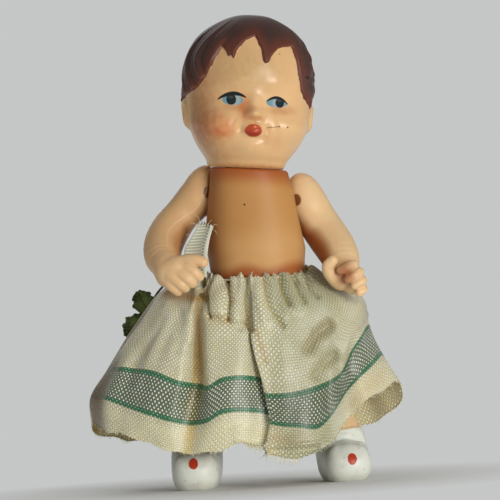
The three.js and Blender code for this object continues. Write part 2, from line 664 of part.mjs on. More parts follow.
// Back columns: degrees round from the front, and how far the fold stands out at the hem
const backColumns = [
  [98, 0.6], [112, -0.8], [127, 1.1], [143, -1], [160, 0.8], [180, -0.9], [199, 1.2], [216, -1],
  [232, 0.9], [247, -0.8], [260, 0.6],
];

// Gathers at the thread: degrees round, half width in degrees, share of the height, level they end at
const gathers = [
  [-150, 10, 0.9, 0.22], [-128, 9, 1, 0.25], [-106, 10, 0.9, 0.22], [-84, 8, 0.8, 0.2],
  [-66, 7, 0.9, 0.26], [-45, 9, 1.2, 0.3], [-21, 9, 1.2, 0.33], [-1, 5, 1, 0.3], [16, 6, 1, 0.28],
  [44, 10, 1, 0.22], [66, 8, 0.9, 0.2], [86, 8, 0.8, 0.22], [108, 10, 1, 0.24], [130, 9, 0.9, 0.22],
  [152, 9, 1, 0.25], [176, 10, 0.9, 0.22],
];

// Where a value falls along a rising list, as a share of the list's length
function shareAlong(list, value) {
  const last = list.length - 1;
  const index = Math.min(Math.max(list.findIndex((entry) => entry > value), 1), last);
  const inside = value >= list[last] ? 1 : (value - list[index - 1]) / (list[index] - list[index - 1]);
  return (value >= list[last] ? last : index - 1 + inside) / last;
}

function waistPoint(turn) {
  const flat = ovalPoint(turn * degree, waistHalfWidth + waistFit, waistHalfDepth + waistFit,
    waistHalfDepth + waistFit, 2);
  return [torsoCentreX + flat.x, flat.y, waistLevel + 0.5];
}

function sideX(share) {
  return torsoCentreX + share * (share > 0 ? skirtLeftReach : skirtRightReach);
}

function frontRail([turn, folds, across, drops]) {
  const levels = across.map((share, level) => {
    const lean = Math.min(1, Math.abs(share) / (share > 0 ? leftShares : rightShares)[level]);
    const fold = rowAt([0, ...folds].map((value) => [value]), shareAlong(foldLevels, skirtLevels[level + 1]))[0];
    const depth = skirtFrontReach * frontShares[level] * Math.sqrt(1 - lean ** 2);
    return [sideX(share), -depth - fold, waistLevel + 0.5 - skirtDrop * drops[level]];
  });
  return [waistPoint(turn), ...levels];
}

function backRail([turn, hemFold]) {
  const across = Math.sin(turn * degree);
  const along = -Math.cos(turn * degree);
  const sideShares = across > 0 ? leftShares : rightShares;
  const sideDrops = across > 0 ? leftDrops : rightDrops;
  const towardBack = Math.abs(along) ** 0.6;
  const levels = sideShares.map((share, level) => {
    const fold = hemFold * skirtLevels[level + 1];
    const drop = sideDrops[level] * (1 - towardBack) + backDrops[level] * towardBack;
    const side = sideX(Math.sign(across) * share) - torsoCentreX;
    return [
      torsoCentreX + Math.abs(across) * side + across * fold * 0.6,
      along * (skirtBackReach * backShares[level] + fold),
      waistLevel + 0.5 - skirtDrop * drop,
    ];
  });
  return [waistPoint(turn), ...levels];
}

const skirtRails = [
  ...backColumns.map((column) => [column[0] - 360, backRail(column)]).filter(([turn]) => turn >= -180),
  ...frontColumns.map((column) => [column[0], frontRail(column)]),
  ...backColumns.map((column) => [column[0], backRail(column)]).filter(([turn]) => turn <= 180),
];
const skirtTurns = skirtRails.map(([turn]) => turn);
const skirtTable = skirtRails.map(([, rail]) => rail.flat());

function skirtPoint(turn, place) {
  const column = rowAt(skirtTable, shareAlong(skirtTurns, turn));
  const levels = skirtLevels.map((_, level) => column.slice(level * 3, level * 3 + 3));
  const [x, y, z] = rowAt(levels, shareAlong(skirtLevels, place));
  let lift = 0;
  for (const [at, width, share, end] of gathers) {
    const apart = Math.abs(((turn - at + 540) % 360) - 180);
    const fade = 1 - THREE.MathUtils.smoothstep(place, end - 0.1, end + 0.1);
    lift += gatherHeight * share * bump(apart, width) * fade;
  }
  const outward = new THREE.Vector2(x - torsoCentreX, y).normalize();
  return new THREE.Vector3(x + outward.x * lift, y + outward.y * lift, z);
}

// A closed shell from a grid of points: the outer skin, and an inner one a thickness inside it
function shellGeometry(columns, rows, pointAt, thickness, wraps) {
  const outer = [];
  const inner = [];
  const small = 1e-3;
  for (let row = 0; row <= rows; row += 1) {
    for (let column = 0; column < columns; column += 1) {
      const u = column / (wraps ? columns : columns - 1);
      const v = row / rows;
      const point = pointAt(u, v);
      const alongU = pointAt(u + small, v).sub(pointAt(u - small, v));
      const alongV = pointAt(u, Math.min(v + small, 1)).sub(pointAt(u, Math.max(v - small, 0)));
      const normal = alongU.cross(alongV).normalize();
      outer.push(point);
      inner.push(point.clone().addScaledVector(normal, -thickness));
    }
  }
  const points = [...outer, ...inner];
  const faces = [];
  const quad = (a, b, c, d) => faces.push([a, b, c], [a, c, d]);
  const lastColumn = wraps ? columns : columns - 1;
  for (let row = 0; row < rows; row += 1) {
    for (let column = 0; column < lastColumn; column += 1) {
      const next = (column + 1) % columns;
      const a = row * columns + column;
      const b = row * columns + next;
      quad(a, b, b + columns, a + columns);
      quad(outer.length + b, outer.length + a, outer.length + a + columns, outer.length + b + columns);
    }
  }
  for (let column = 0; column < lastColumn; column += 1) {
    const next = (column + 1) % columns;
    const last = rows * columns;
    quad(next, column, outer.length + column, outer.length + next);
    quad(last + column, last + next, outer.length + last + next, outer.length + last + column);
  }
  if (!wraps) {
    for (let row = 0; row < rows; row += 1) {
      const a = row * columns;
      const b = a + columns - 1;
      quad(a, a + columns, outer.length + a + columns, outer.length + a);
      quad(b + columns, b, outer.length + b, outer.length + b + columns);
    }
  }
  return closedGeometry(points, faces);
}

// Two columns of faces lie between neighbouring rails
function skirtGeometry() {
  const spans = skirtTurns.length - 1;
  const pointAt = (u, v) => {
    const along = (u - Math.floor(u)) * spans;
    const index = Math.min(Math.floor(along), spans - 1);
    const turn = skirtTurns[index] + (skirtTurns[index + 1] - skirtTurns[index]) * (along - index);
    return skirtPoint(turn, v);
  };
  return shellGeometry(spans * 2, 8, pointAt, clothThickness, true);
}

// The gathering thread lies round the waist under the cloth
function threadGeometry() {
  const sides = 5;
  const steps = 36;
  const level = waistLevel - 0.6;
  const rings = Array.from({ length: steps }, (_, step) => {
    const angle = step / steps * 2 * Math.PI;
    const out = seatGap + threadRadius;
    const flat = ovalPoint(angle, waistHalfWidth + out, waistHalfDepth + out, waistHalfDepth + out, 2.2);
    const outward = flat.clone().normalize();
    return Array.from({ length: sides }, (__, side) => {
      const turn = side / sides * 2 * Math.PI;
      return new THREE.Vector3(
        torsoCentreX + flat.x + outward.x * threadRadius * Math.cos(turn),
        flat.y + outward.y * threadRadius * Math.cos(turn),
        level + threadRadius * Math.sin(turn),
      );
    });
  });
  const faces = [];
  for (let step = 0; step < steps; step += 1) {
    for (let side = 0; side < sides; side += 1) {
      const next = (side + 1) % sides;
      const low = step * sides;
      const high = ((step + 1) % steps) * sides;
      faces.push([low + side, low + next, high + next], [low + side, high + next, high + side]);
    }
  }
  return closedGeometry(rings.flat(), faces);
}

// The strap stands up from the waist beside the torso, torn off along its top
function strapGeometry() {
  const pointAt = (u, v) => {
    const across = (u - 0.5) * strapWidth * (1 - 0.35 * v);
    const up = v * strapLength * (0.86 + 0.14 * u);
    const lean = 0.34 * up - 0.012 * up * up;
    return new THREE.Vector3(
      -13.2 + across + lean,
      -6.4 - 0.9 * Math.sin(u * Math.PI) + 0.1 * up,
      waistLevel + 1.4 + up - 0.35 * across,
    );
  };
  return shellGeometry(7, 7, pointAt, strapThickness, false);
}

// Leaves: crinkled ovals that hang outward from the end of a short stem
function leafGeometry(length, width, droop, turnOut) {
  const pointAt = (u, v) => {
    const outline = Math.sin(Math.PI * Math.min(0.97, 0.06 + 0.9 * v)) ** 0.6;
    const across = (u - 0.5) * width * outline;
    const along = v * length;
    const crinkle = 0.45 * Math.sin(v * 4 * Math.PI) + 0.7 * Math.abs(u - 0.5);
    return new THREE.Vector3(-along, crinkle, across);
  };
  return shellGeometry(8, 9, pointAt, leafThickness, false)
    .rotateY(droop)
    .rotateZ(turnOut);
}

function sprigMeshes() {
  const seat = skirtPoint(sprigTurn, sprigPlace);
  const nudge = 0.01;
  const round = skirtPoint(sprigTurn + nudge, sprigPlace).sub(seat);
  const down = skirtPoint(sprigTurn, sprigPlace + nudge).sub(seat);
  const outward = round.cross(down).normalize().negate();
  const foot = seat.clone().addScaledVector(outward, seatGap + stemRadius);
  const bend = foot.clone().add(new THREE.Vector3(-stemReach * 0.4, 0.9, stemRise * 0.35));
  const tip = foot.clone().add(new THREE.Vector3(-stemReach, 0.6, stemRise));
  const stations = [foot, bend, tip].map((point) => [point.x, point.y, point.z, stemRadius]);
  const stem = tubeGeometry(stations, 6, 4);
  const upper = leafGeometry(5.6, 5.6, 118 * degree, 10 * degree)
    .translate(tip.x + 0.3, tip.y + 0.2, tip.z + seatGap + stemRadius + 0.2);
  const lower = leafGeometry(5.4, 5.2, -52 * degree, -6 * degree)
    .translate(tip.x - seatGap - stemRadius, tip.y, tip.z - 0.5);
  return { stem, upper, lower };
}

// Materials
function vinyl(colour) {
  return new THREE.MeshStandardMaterial({ color: colour, roughness: 0.45, metalness: 0 });
}

function fabric(colour) {
  return new THREE.MeshStandardMaterial({ color: colour, roughness: 0.8, metalness: 0 });
}

const skin = vinyl(0xdcae82);
const ribbon = fabric(0xc8c3a2);
const leafGreen = fabric(0x3c4a22);
const elastic = fabric(0xd8d2c4);

function part(name, geometry, material) {
  const mesh = new THREE.Mesh(geometry, material);
  mesh.name = name;
  return mesh;
}

// The doll, put together
const sprig = sprigMeshes();
const doll = new THREE.Group();
doll.add(
  part('head', geometryFrom(headSolid()), skin),
  part('torso', geometryFrom(torsoSolid()), skin),
  part('right_arm', geometryFrom(armSolid(rightArm)), skin),
  part('left_arm', geometryFrom(armSolid(leftArm)), skin),
  part('right_leg', geometryFrom(legSolid(-1)), skin),
  part('left_leg', geometryFrom(legSolid(1)), skin),
  part('arm_elastic', geometryFrom(elasticSolid(rightShoulder, leftShoulder, [])), elastic),
  part('leg_elastic', geometryFrom(elasticSolid(hipFrame(-1), hipFrame(1), [])), elastic),
  part('skirt', skirtGeometry(), ribbon),
  part('gathering_thread', threadGeometry(), elastic),
  part('strap', strapGeometry(), ribbon),
  part('leaf_stem', sprig.stem, leafGreen),
  part('leaf_upper', sprig.upper, leafGreen),
  part('leaf_lower', sprig.lower, leafGreen),
);

// The origin lies on the floor under the middle of the doll's box
const box = new THREE.Box3().setFromObject(doll, true);
doll.position.set(-(box.min.x + box.max.x) / 2, -(box.min.y + box.max.y) / 2, 0);

export default doll;
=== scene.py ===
# A small strung doll of soft vinyl, with a gathered ribbon skirt.
import json
import math

import bpy
import numpy as np
from mathutils import Matrix, Vector


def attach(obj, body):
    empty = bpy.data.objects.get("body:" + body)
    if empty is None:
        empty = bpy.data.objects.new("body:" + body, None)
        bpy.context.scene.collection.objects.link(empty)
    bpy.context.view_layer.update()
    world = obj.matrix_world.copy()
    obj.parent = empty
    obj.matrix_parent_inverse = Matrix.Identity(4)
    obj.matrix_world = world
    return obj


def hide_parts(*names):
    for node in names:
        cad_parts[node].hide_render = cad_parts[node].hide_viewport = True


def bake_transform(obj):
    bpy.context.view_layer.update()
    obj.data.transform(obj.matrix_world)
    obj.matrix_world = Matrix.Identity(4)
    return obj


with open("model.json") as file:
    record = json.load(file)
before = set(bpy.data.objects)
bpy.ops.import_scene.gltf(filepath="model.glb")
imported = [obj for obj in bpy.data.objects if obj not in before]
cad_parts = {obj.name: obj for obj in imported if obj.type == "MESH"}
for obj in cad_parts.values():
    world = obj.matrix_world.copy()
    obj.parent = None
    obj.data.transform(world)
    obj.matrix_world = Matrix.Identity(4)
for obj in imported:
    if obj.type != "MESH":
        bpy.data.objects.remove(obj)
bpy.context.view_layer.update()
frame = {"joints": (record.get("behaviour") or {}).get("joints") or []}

MM = 0.001
degree = math.pi / 180

# The doll stands on the floor and faces the camera. All its pieces are drawn in
# millimetres from a point on the floor between its feet, and the two hip joints
# say where that point lies in the frame.
joints = {joint["name"]: joint for joint in frame["joints"]}
hip_places = [Vector(joints[name]["pos_m"]) / MM for name in ("right_hip", "left_hip")]
TORSO_X = -0.5
HIP_Y = 0.4
stand = (hip_places[0] + hip_places[1]) / 2 - Vector((TORSO_X, HIP_Y, 0))
stand.z = 0

# The camera looks straight at the front of the doll with a long lens, turned so that
# the doll leans a little to the left in the picture, as it lies in the photograph.
VIEW_CENTRE = Vector((-1.4, 0, 49.6))
VIEW_HEIGHT = 105.7
VIEW_DISTANCE = 1200
VIEW_LEAN = 3.36 * degree
camera_data = bpy.data.cameras.new("camera")
camera_data.sensor_width = 36
camera_data.lens = 36 * VIEW_DISTANCE / VIEW_HEIGHT
camera_data.clip_start = 0.05
camera_data.clip_end = 20
camera = bpy.data.objects.new("camera", camera_data)
bpy.context.scene.collection.objects.link(camera)
camera_place = (stand + VIEW_CENTRE + Vector((0, -VIEW_DISTANCE, 0))) * MM
camera_up = Vector((math.sin(VIEW_LEAN), 0, math.cos(VIEW_LEAN)))
camera_back = Vector((0, -1, 0))
camera_right = camera_up.cross(camera_back)
camera.matrix_world = Matrix.Translation(camera_place) @ Matrix(
    (camera_right, camera_up, camera_back)
).transposed().to_4x4()
bpy.context.scene.camera = camera

# A pale floor, a pale surround and three soft lamps: the main one stands low at the
# doll's left front, a weak one at its right, and one behind and above lights the edges.
SURROUND = (0.560, 0.572, 0.566, 1)
SURROUND_LIGHT = (1, 0.98, 0.95, 1)
LAMP_AIM = Vector((0, 0, 0.05))


def lamp(name, place, size, power, colour):
    data = bpy.data.lights.new(name, "AREA")
    data.size = size
    data.energy = power
    data.color = colour
    light = bpy.data.objects.new(name, data)
    light.location = place
    light.rotation_euler = (LAMP_AIM - Vector(place)).to_track_quat("-Z", "Y").to_euler()
    bpy.context.scene.collection.objects.link(light)


lamp("main_lamp", (0.28, -0.45, 0.07), 0.24, 2.5, (1, 0.965, 0.92))
lamp("fill_lamp", (-0.45, -0.40, 0.10), 0.5, 0.14, (1, 0.96, 0.92))
lamp("back_lamp", (-0.10, 0.50, 0.35), 0.4, 0.45, (1, 1, 1))

world = bpy.data.worlds.new("surround")
bpy.context.scene.world = world
world.use_nodes = True
world_nodes, world_links = world.node_tree.nodes, world.node_tree.links
world_nodes.clear()
seen = world_nodes.new("ShaderNodeBackground")
seen.inputs["Color"].default_value = SURROUND
lighting = world_nodes.new("ShaderNodeBackground")
lighting.inputs["Color"].default_value = SURROUND_LIGHT
lighting.inputs["Strength"].default_value = 0.26
light_path = world_nodes.new("ShaderNodeLightPath")
world_mix = world_nodes.new("ShaderNodeMixShader")
world_output = world_nodes.new("ShaderNodeOutputWorld")
world_links.new(light_path.outputs["Is Camera Ray"], world_mix.inputs[0])
world_links.new(lighting.outputs[0], world_mix.inputs[1])
world_links.new(seen.outputs[0], world_mix.inputs[2])
world_links.new(world_mix.outputs[0], world_output.inputs[0])
bpy.context.scene.view_settings.view_transform = "Standard"

# The floor is a plain pale sheet. It takes the doll's shadow close by, and farther off it
# has the surround's own colour.
FLOOR_NEAR, FLOOR_FAR = 0.022, 0.075
FLOOR_WHITE = (0.86, 0.87, 0.865, 1)
floor_mesh = bpy.data.meshes.new("floor")
floor_mesh.from_pydata([(-2, -2, 0), (2, -2, 0), (2, 2, 0), (-2, 2, 0)], [], [(0, 1, 2, 3)])
floor = bpy.data.objects.new("floor", floor_mesh)
bpy.context.scene.collection.objects.link(floor)
floor_finish = bpy.data.materials.new("pale_floor")
floor_finish.use_nodes = True
floor_nodes, floor_links = floor_finish.node_tree.nodes, floor_finish.node_tree.links
floor_shader = floor_nodes["Principled BSDF"]
floor_shader.inputs["Base Color"].default_value = FLOOR_WHITE
floor_shader.inputs["Roughness"].default_value = 0.9
floor_far = floor_nodes.new("ShaderNodeEmission")
floor_far.inputs["Color"].default_value = SURROUND
floor_place = floor_nodes.new("ShaderNodeTexCoord")
floor_reach = floor_nodes.new("ShaderNodeVectorMath")
floor_reach.operation = "LENGTH"
floor_fade = floor_nodes.new("ShaderNodeMapRange")
floor_fade.inputs["From Min"].default_value = FLOOR_NEAR
floor_fade.inputs["From Max"].default_value = FLOOR_FAR
floor_mix = floor_nodes.new("ShaderNodeMixShader")
floor_links.new(floor_place.outputs["Object"], floor_reach.inputs[0])
floor_links.new(floor_reach.outputs["Value"], floor_fade.inputs["Value"])
floor_links.new(floor_fade.outputs["Result"], floor_mix.inputs[0])
floor_links.new(floor_shader.outputs[0], floor_mix.inputs[1])
floor_links.new(floor_far.outputs[0], floor_mix.inputs[2])
floor_links.new(floor_mix.outputs[0], floor_nodes["Material Output"].inputs["Surface"])
floor_mesh.materials.append(floor_finish)

# The head is one hollow vinyl moulding with its hair, ears and face in relief. Its neck
# snaps into the torso, tilted and turned a little to the doll's left, and its hair, eyes,
# lips and blush are painted on.
NECK_X = -1.3
NECK_LEVEL = 66.9
HEAD_TILT = 6 * degree
HEAD_TURN = 6 * degree
HEAD_HEIGHT = 32.6
HEAD_HALF_WIDTH = 13.6
HEAD_FRONT = 12.6
HEAD_BACK = 14.2
HAIR_THICKNESS = 0.6
HEAD_ROWS = [
    # share of the height, then of the half width, the front and the back
    (0.0, 0.57, 0.60, 0.50),
    (0.014, 0.60, 0.66, 0.52),
    (0.045, 0.625, 0.73, 0.55),
    (0.09, 0.70, 0.84, 0.60),
    (0.15, 0.795, 0.91, 0.65),
    (0.25, 0.90, 0.97, 0.76),
    (0.36, 0.955, 0.975, 0.88),
    (0.46, 0.985, 0.96, 0.96),
    (0.57, 0.995, 0.985, 1.0),
    (0.68, 0.965, 0.965, 0.98),
    (0.78, 0.875, 0.87, 0.89),
    (0.87, 0.72, 0.715, 0.73),
    (0.94, 0.50, 0.495, 0.52),
    (0.985, 0.25, 0.25, 0.26),
    (0.995, 0.0, 0.0, 0.0),
]
HAIRLINE = [
    # degrees round the head from its middle front, and the hair's lower edge there
    (-180, 5.2), (-140, 6.2), (-115, 9.0), (-92, 14.2), (-76, 14.95), (-61, 15.85), (-55, 16.7),
    (-50, 17.8), (-46, 19.3), (-42.5, 20.8), (-40, 22.1), (-38.4, 23.0), (-36, 24.45), (-35, 24.9),
    (-33, 24.6), (-29.5, 24.0), (-28, 23.4), (-26.7, 23.1), (-24, 23.35), (-22, 22.7),
    (-21, 22.65), (-19.7, 22.9), (-19, 24.3), (-17, 25.0), (-14, 25.9), (-10, 26.75),
    (-4.5, 27.25), (-1.7, 27.5), (0.8, 26.4), (2.3, 25.6), (3.7, 25.2), (4.5, 24.4), (5.3, 23.4),
    (6, 22.35), (8, 21.85), (11.8, 22.1), (14, 22.9), (15.5, 23.6), (19.5, 24.4), (24, 25.15),
    (33, 25.6), (40.8, 25.8), (42, 25.5), (42.5, 24.7), (43.3, 23.3), (44, 21.7), (44.8, 20.0),
    (47.3, 17.95), (50, 16.25), (54, 15.05), (61.5, 14.05), (72, 12.9), (78, 14.6), (98, 14.9),
    (112, 9.4), (140, 6.2), (180, 5.2),
]


def smooth_rows(table, place):
    """A smooth blend through the rows of a table, for places from 0 to 1."""
    rows = np.asarray(table, float)
    span = np.clip(place, 0, 1) * (len(rows) - 1)
    index = np.minimum(span.astype(int), len(rows) - 2)
    t = (span - index)[..., None]
    here, after = rows[index], rows[index + 1]
    slope_in = (after - rows[np.maximum(index - 1, 0)]) / 2
    slope_out = (rows[np.minimum(index + 2, len(rows) - 1)] - here) / 2
    blend = ((2 * t**3 - 3 * t**2 + 1) * here + (t**3 - 2 * t**2 + t) * slope_in
             + (3 * t**2 - 2 * t**3) * after + (t**3 - t**2) * slope_out)
    return np.moveaxis(blend, -1, 0)


def bump(distance, width):
    return np.exp(-((distance / width) ** 2))


def smoothstep(low, high, value):
    t = np.clip((value - low) / (high - low), 0, 1)
    return t * t * (3 - 2 * t)


def oval(angle, half_width, front, back, fullness):
    """A point of an oval section; angle 0 faces the front, and fullness over 2 squares its corners."""
    across, along = np.sin(angle), -np.cos(angle)
    power = 2 / fullness
    x = half_width * np.sign(across) * np.abs(across) ** power
    y = np.where(along < 0, front, back) * np.sign(along) * np.abs(along) ** power
    return x, y


def face_relief(x, z):
    """How far the face stands out of the head's oval, at a place on its front."""
    side = np.abs(x)
    socket = -0.8 * bump(side - 4.8, 2.5) * bump(z - 14.0, 1.8)
    eyeball = 0.45 * bump(side - 4.8, 1.9) * bump(z - 14.2, 1.15)
    brow = 0.3 * bump(side - 4.3, 2.6) * bump(z - 18.3, 2.0)
    bridge = 0.75 * bump(x, 1.3) * bump(z - 13.7, 1.9)
    nose = 2.25 * bump(x, 1.4) * bump(z - 11.35, 1.25)
    wings = 0.4 * bump(side - 1.45, 0.75) * bump(z - 10.8, 0.75)
    nostrils = -0.18 * bump(side - 0.75, 0.4) * bump(z - 10.1, 0.35)
    philtrum = -0.2 * bump(x, 0.5) * bump(z - 9.9, 0.6)
    cheeks = 1.3 * bump(side - 7.4, 3.8) * bump(z - 8.6, 3.2)
    muzzle = 0.55 * bump(x, 3.0) * bump(z - 8.3, 2.2)
    lips = 0.8 * bump(x, 1.75) * (bump(z - 8.5, 0.85) + bump(z - 7.2, 0.75))
    parting = -0.15 * bump(x, 1.7) * bump(z - 8.05 - 0.08 * x**2, 0.2)
    corners = -0.5 * bump(side - 2.7, 0.7) * bump(z - 8.1, 1.0)
    folds = -0.15 * bump(side - 4.1 - 0.25 * (9.5 - z), 0.7) * bump(z - 8.6, 2.4)
    under_lip = -0.28 * bump(x, 2.2) * bump(z - 6.2, 0.7)
    chin = 0.95 * bump(x, 2.9) * bump(z - 4.5, 1.8)
    dimple = -0.12 * bump(x, 0.7) * bump(z - 4.2, 0.7)
    return (socket + eyeball + brow + bridge + nose + wings + nostrils + philtrum + cheeks + muzzle
            + lips + parting + corners + folds + under_lip + chin + dimple)


def ear_relief(y, z):
    """An ear's rim, lobe and hollow, at a place on the side of the head."""
    inside = ((y - 0.8) / 2.0) ** 2 + ((z - 10.9) / 2.7) ** 2
    rim = 1.05 * smoothstep(1.9, 0.55, inside)
    hollow = -0.7 * smoothstep(0.65, 0.1, ((y - 0.3) / 2.0) ** 2 + ((z - 11.3) / 2.7) ** 2)
    return rim + hollow


def hairline_distance(x, y):
    """Distance from points to the hairline, above it positive, all in millimetres on the head's side."""
    line = np.array([(turn * degree * HEAD_HALF_WIDTH, level) for turn, level in HAIRLINE])
    nearest = np.full(x.shape, 1e3)
    for start, end in zip(line[:-1], line[1:]):
        along = end - start
        place = np.clip(((x - start[0]) * along[0] + (y - start[1]) * along[1]) / (along @ along), 0, 1)
        gap = np.hypot(x - start[0] - place * along[0], y - start[1] - place * along[1])
        nearest = np.minimum(nearest, gap)
    return np.where(y > np.interp(x, line[:, 0], line[:, 1]), nearest, -nearest)


def head_surface(angle, place):
    """Head points from the turn round the head and the place up its profile, and the hair's edge."""
    height, width, front, back = smooth_rows(HEAD_ROWS, place)
    fullness = 2 + 0.35 * bump(height - 0.25, 0.25)
    x, y = oval(angle, width * HEAD_HALF_WIDTH, front * HEAD_FRONT, back * HEAD_BACK, fullness)
    x = np.where(x > 0, x * (1 - 0.045 * smoothstep(0.34, 0.5, height)), x)
    z = height * HEAD_HEIGHT
    reach = np.maximum(np.hypot(x, y), 1e-6)
    relief = np.where(y < 0, face_relief(x, z) * np.clip(-y / 4, 0, 1), 0)
    relief = relief + ear_relief(y, z) * smoothstep(6, 10, np.abs(x))
    turn = angle / degree
    hair_edge = hairline_distance(angle * HEAD_HALF_WIDTH, z)
    crown = np.clip(6 * (1 - height), 0, 1)
    locks = smoothstep(-0.05, 0.6, hair_edge)
    sweep = turn + 0.9 * (z - 20) + 9 * np.sin(z * 0.35)
    chunky = smoothstep(-18, -40, turn) + 0.8 * smoothstep(44, 60, turn)
    strands = 0.24 * np.sin(sweep * 0.33) + 0.12 * np.sin(sweep * 0.61 + 1.0)
    curls = 0.30 * np.sin(turn * 0.28 + 1.4 * np.sin(z * 0.8)) * np.sin(z * 0.95 + turn * 0.05)
    curls = curls * smoothstep(50, 70, turn) + 0.03 * np.sin(sweep * 0.5)
    lift = (HAIR_THICKNESS * locks * crown
            + (strands * chunky + curls) * locks * np.clip(3.5 * (1 - height), 0, 1))
    relief = relief + lift
    points = np.stack([x + x / reach * relief, y + y / reach * relief, z], -1)
    return points, hair_edge


def grid_faces(columns, rows, wraps):
    """The faces of a grid of points, row by row."""
    column = np.arange(columns if wraps else columns - 1)
    row = np.arange(rows - 1)[:, None]
    after = (column + 1) % columns
    quads = np.stack([row * columns + column, row * columns + after,
                      (row + 1) * columns + after, (row + 1) * columns + column], -1)
    return quads.reshape(-1, 4)


def make_mesh(name, points, faces):
    """A piece from points in millimetres in the doll's own frame."""
    mesh = bpy.data.meshes.new(name)
    mesh.from_pydata(((np.asarray(points) + np.array(stand)) * MM).tolist(), [],
                     [tuple(face) for face in faces])
    mesh.validate()
    mesh.polygons.foreach_set("use_smooth", [True] * len(mesh.polygons))
    piece = bpy.data.objects.new(name, mesh)
    bpy.context.scene.collection.objects.link(piece)
    return piece


def mark(piece, name, values):
    """Keeps a number for each point of a mesh, for its paint."""
    attribute = piece.data.attributes.new(name, "FLOAT", "POINT")
    attribute.data.foreach_set("value", np.asarray(values, np.float32).ravel())


def place_in(matrix, points):
    turned = np.asarray(matrix.to_3x3())
    return points @ turned.T + np.asarray(matrix.translation)


neck_frame = (Matrix.Translation((NECK_X, 0, NECK_LEVEL))
              @ Matrix.Rotation(HEAD_TILT, 4, "Y") @ Matrix.Rotation(HEAD_TURN, 4, "Z"))

HEAD_COLUMNS = 440
HEAD_LEVELS = 300
NECK_RADIUS = 4.4
NECK_RINGS = ((NECK_RADIUS, -2.2), (NECK_RADIUS, 0.25), (6.2, 0.12))
even = np.linspace(-math.pi, math.pi, HEAD_COLUMNS, endpoint=False)
head_angle, head_place = np.meshgrid(even - 0.35 * np.sin(even), np.linspace(0, 1, HEAD_LEVELS))
head_points, hair_edge = head_surface(head_angle, head_place)
neck_rows = []
for radius, level in NECK_RINGS:
    ring_x, ring_y = oval(head_angle[0], radius, radius, radius, 2)
    neck_rows.append(np.stack([ring_x, ring_y, np.full_like(ring_x, level)], -1))
head_grid = np.concatenate([neck_rows, head_points])
head = make_mesh("doll_head", place_in(neck_frame, head_grid.reshape(-1, 3)),
                 grid_faces(HEAD_COLUMNS, HEAD_LEVELS + len(NECK_RINGS), True))

# What the paint goes by: the distance above the hair's edge, and places on the face
below_hair = np.full((len(NECK_RINGS), HEAD_COLUMNS), -9.0)
mark(head, "hair_edge", np.concatenate([below_hair, hair_edge]))
mark(head, "face_x", head_grid[:, :, 0])
mark(head, "face_z", head_grid[:, :, 2])
mark(head, "face_front", smoothstep(-2, -6, head_grid[:, :, 1]))


class Tone:
    """A number that varies over a surface. Tones are added and multiplied like numbers."""

    def __init__(self, paint, socket):
        self.paint = paint
        self.socket = socket

    def __add__(self, other):
        return self.paint.math("ADD", self, other)

    def __sub__(self, other):
        return self.paint.math("SUBTRACT", self, other)

    def __rsub__(self, other):
        return self.paint.math("SUBTRACT", other, self)

    def __mul__(self, other):
        return self.paint.math("MULTIPLY", self, other)

    def __truediv__(self, other):
        return self.paint.math("DIVIDE", self, other)

    def __pow__(self, other):
        return self.paint.math("POWER", self, other)

    def __abs__(self):
        return self.paint.math("ABSOLUTE", self)

    __radd__, __rmul__ = __add__, __mul__


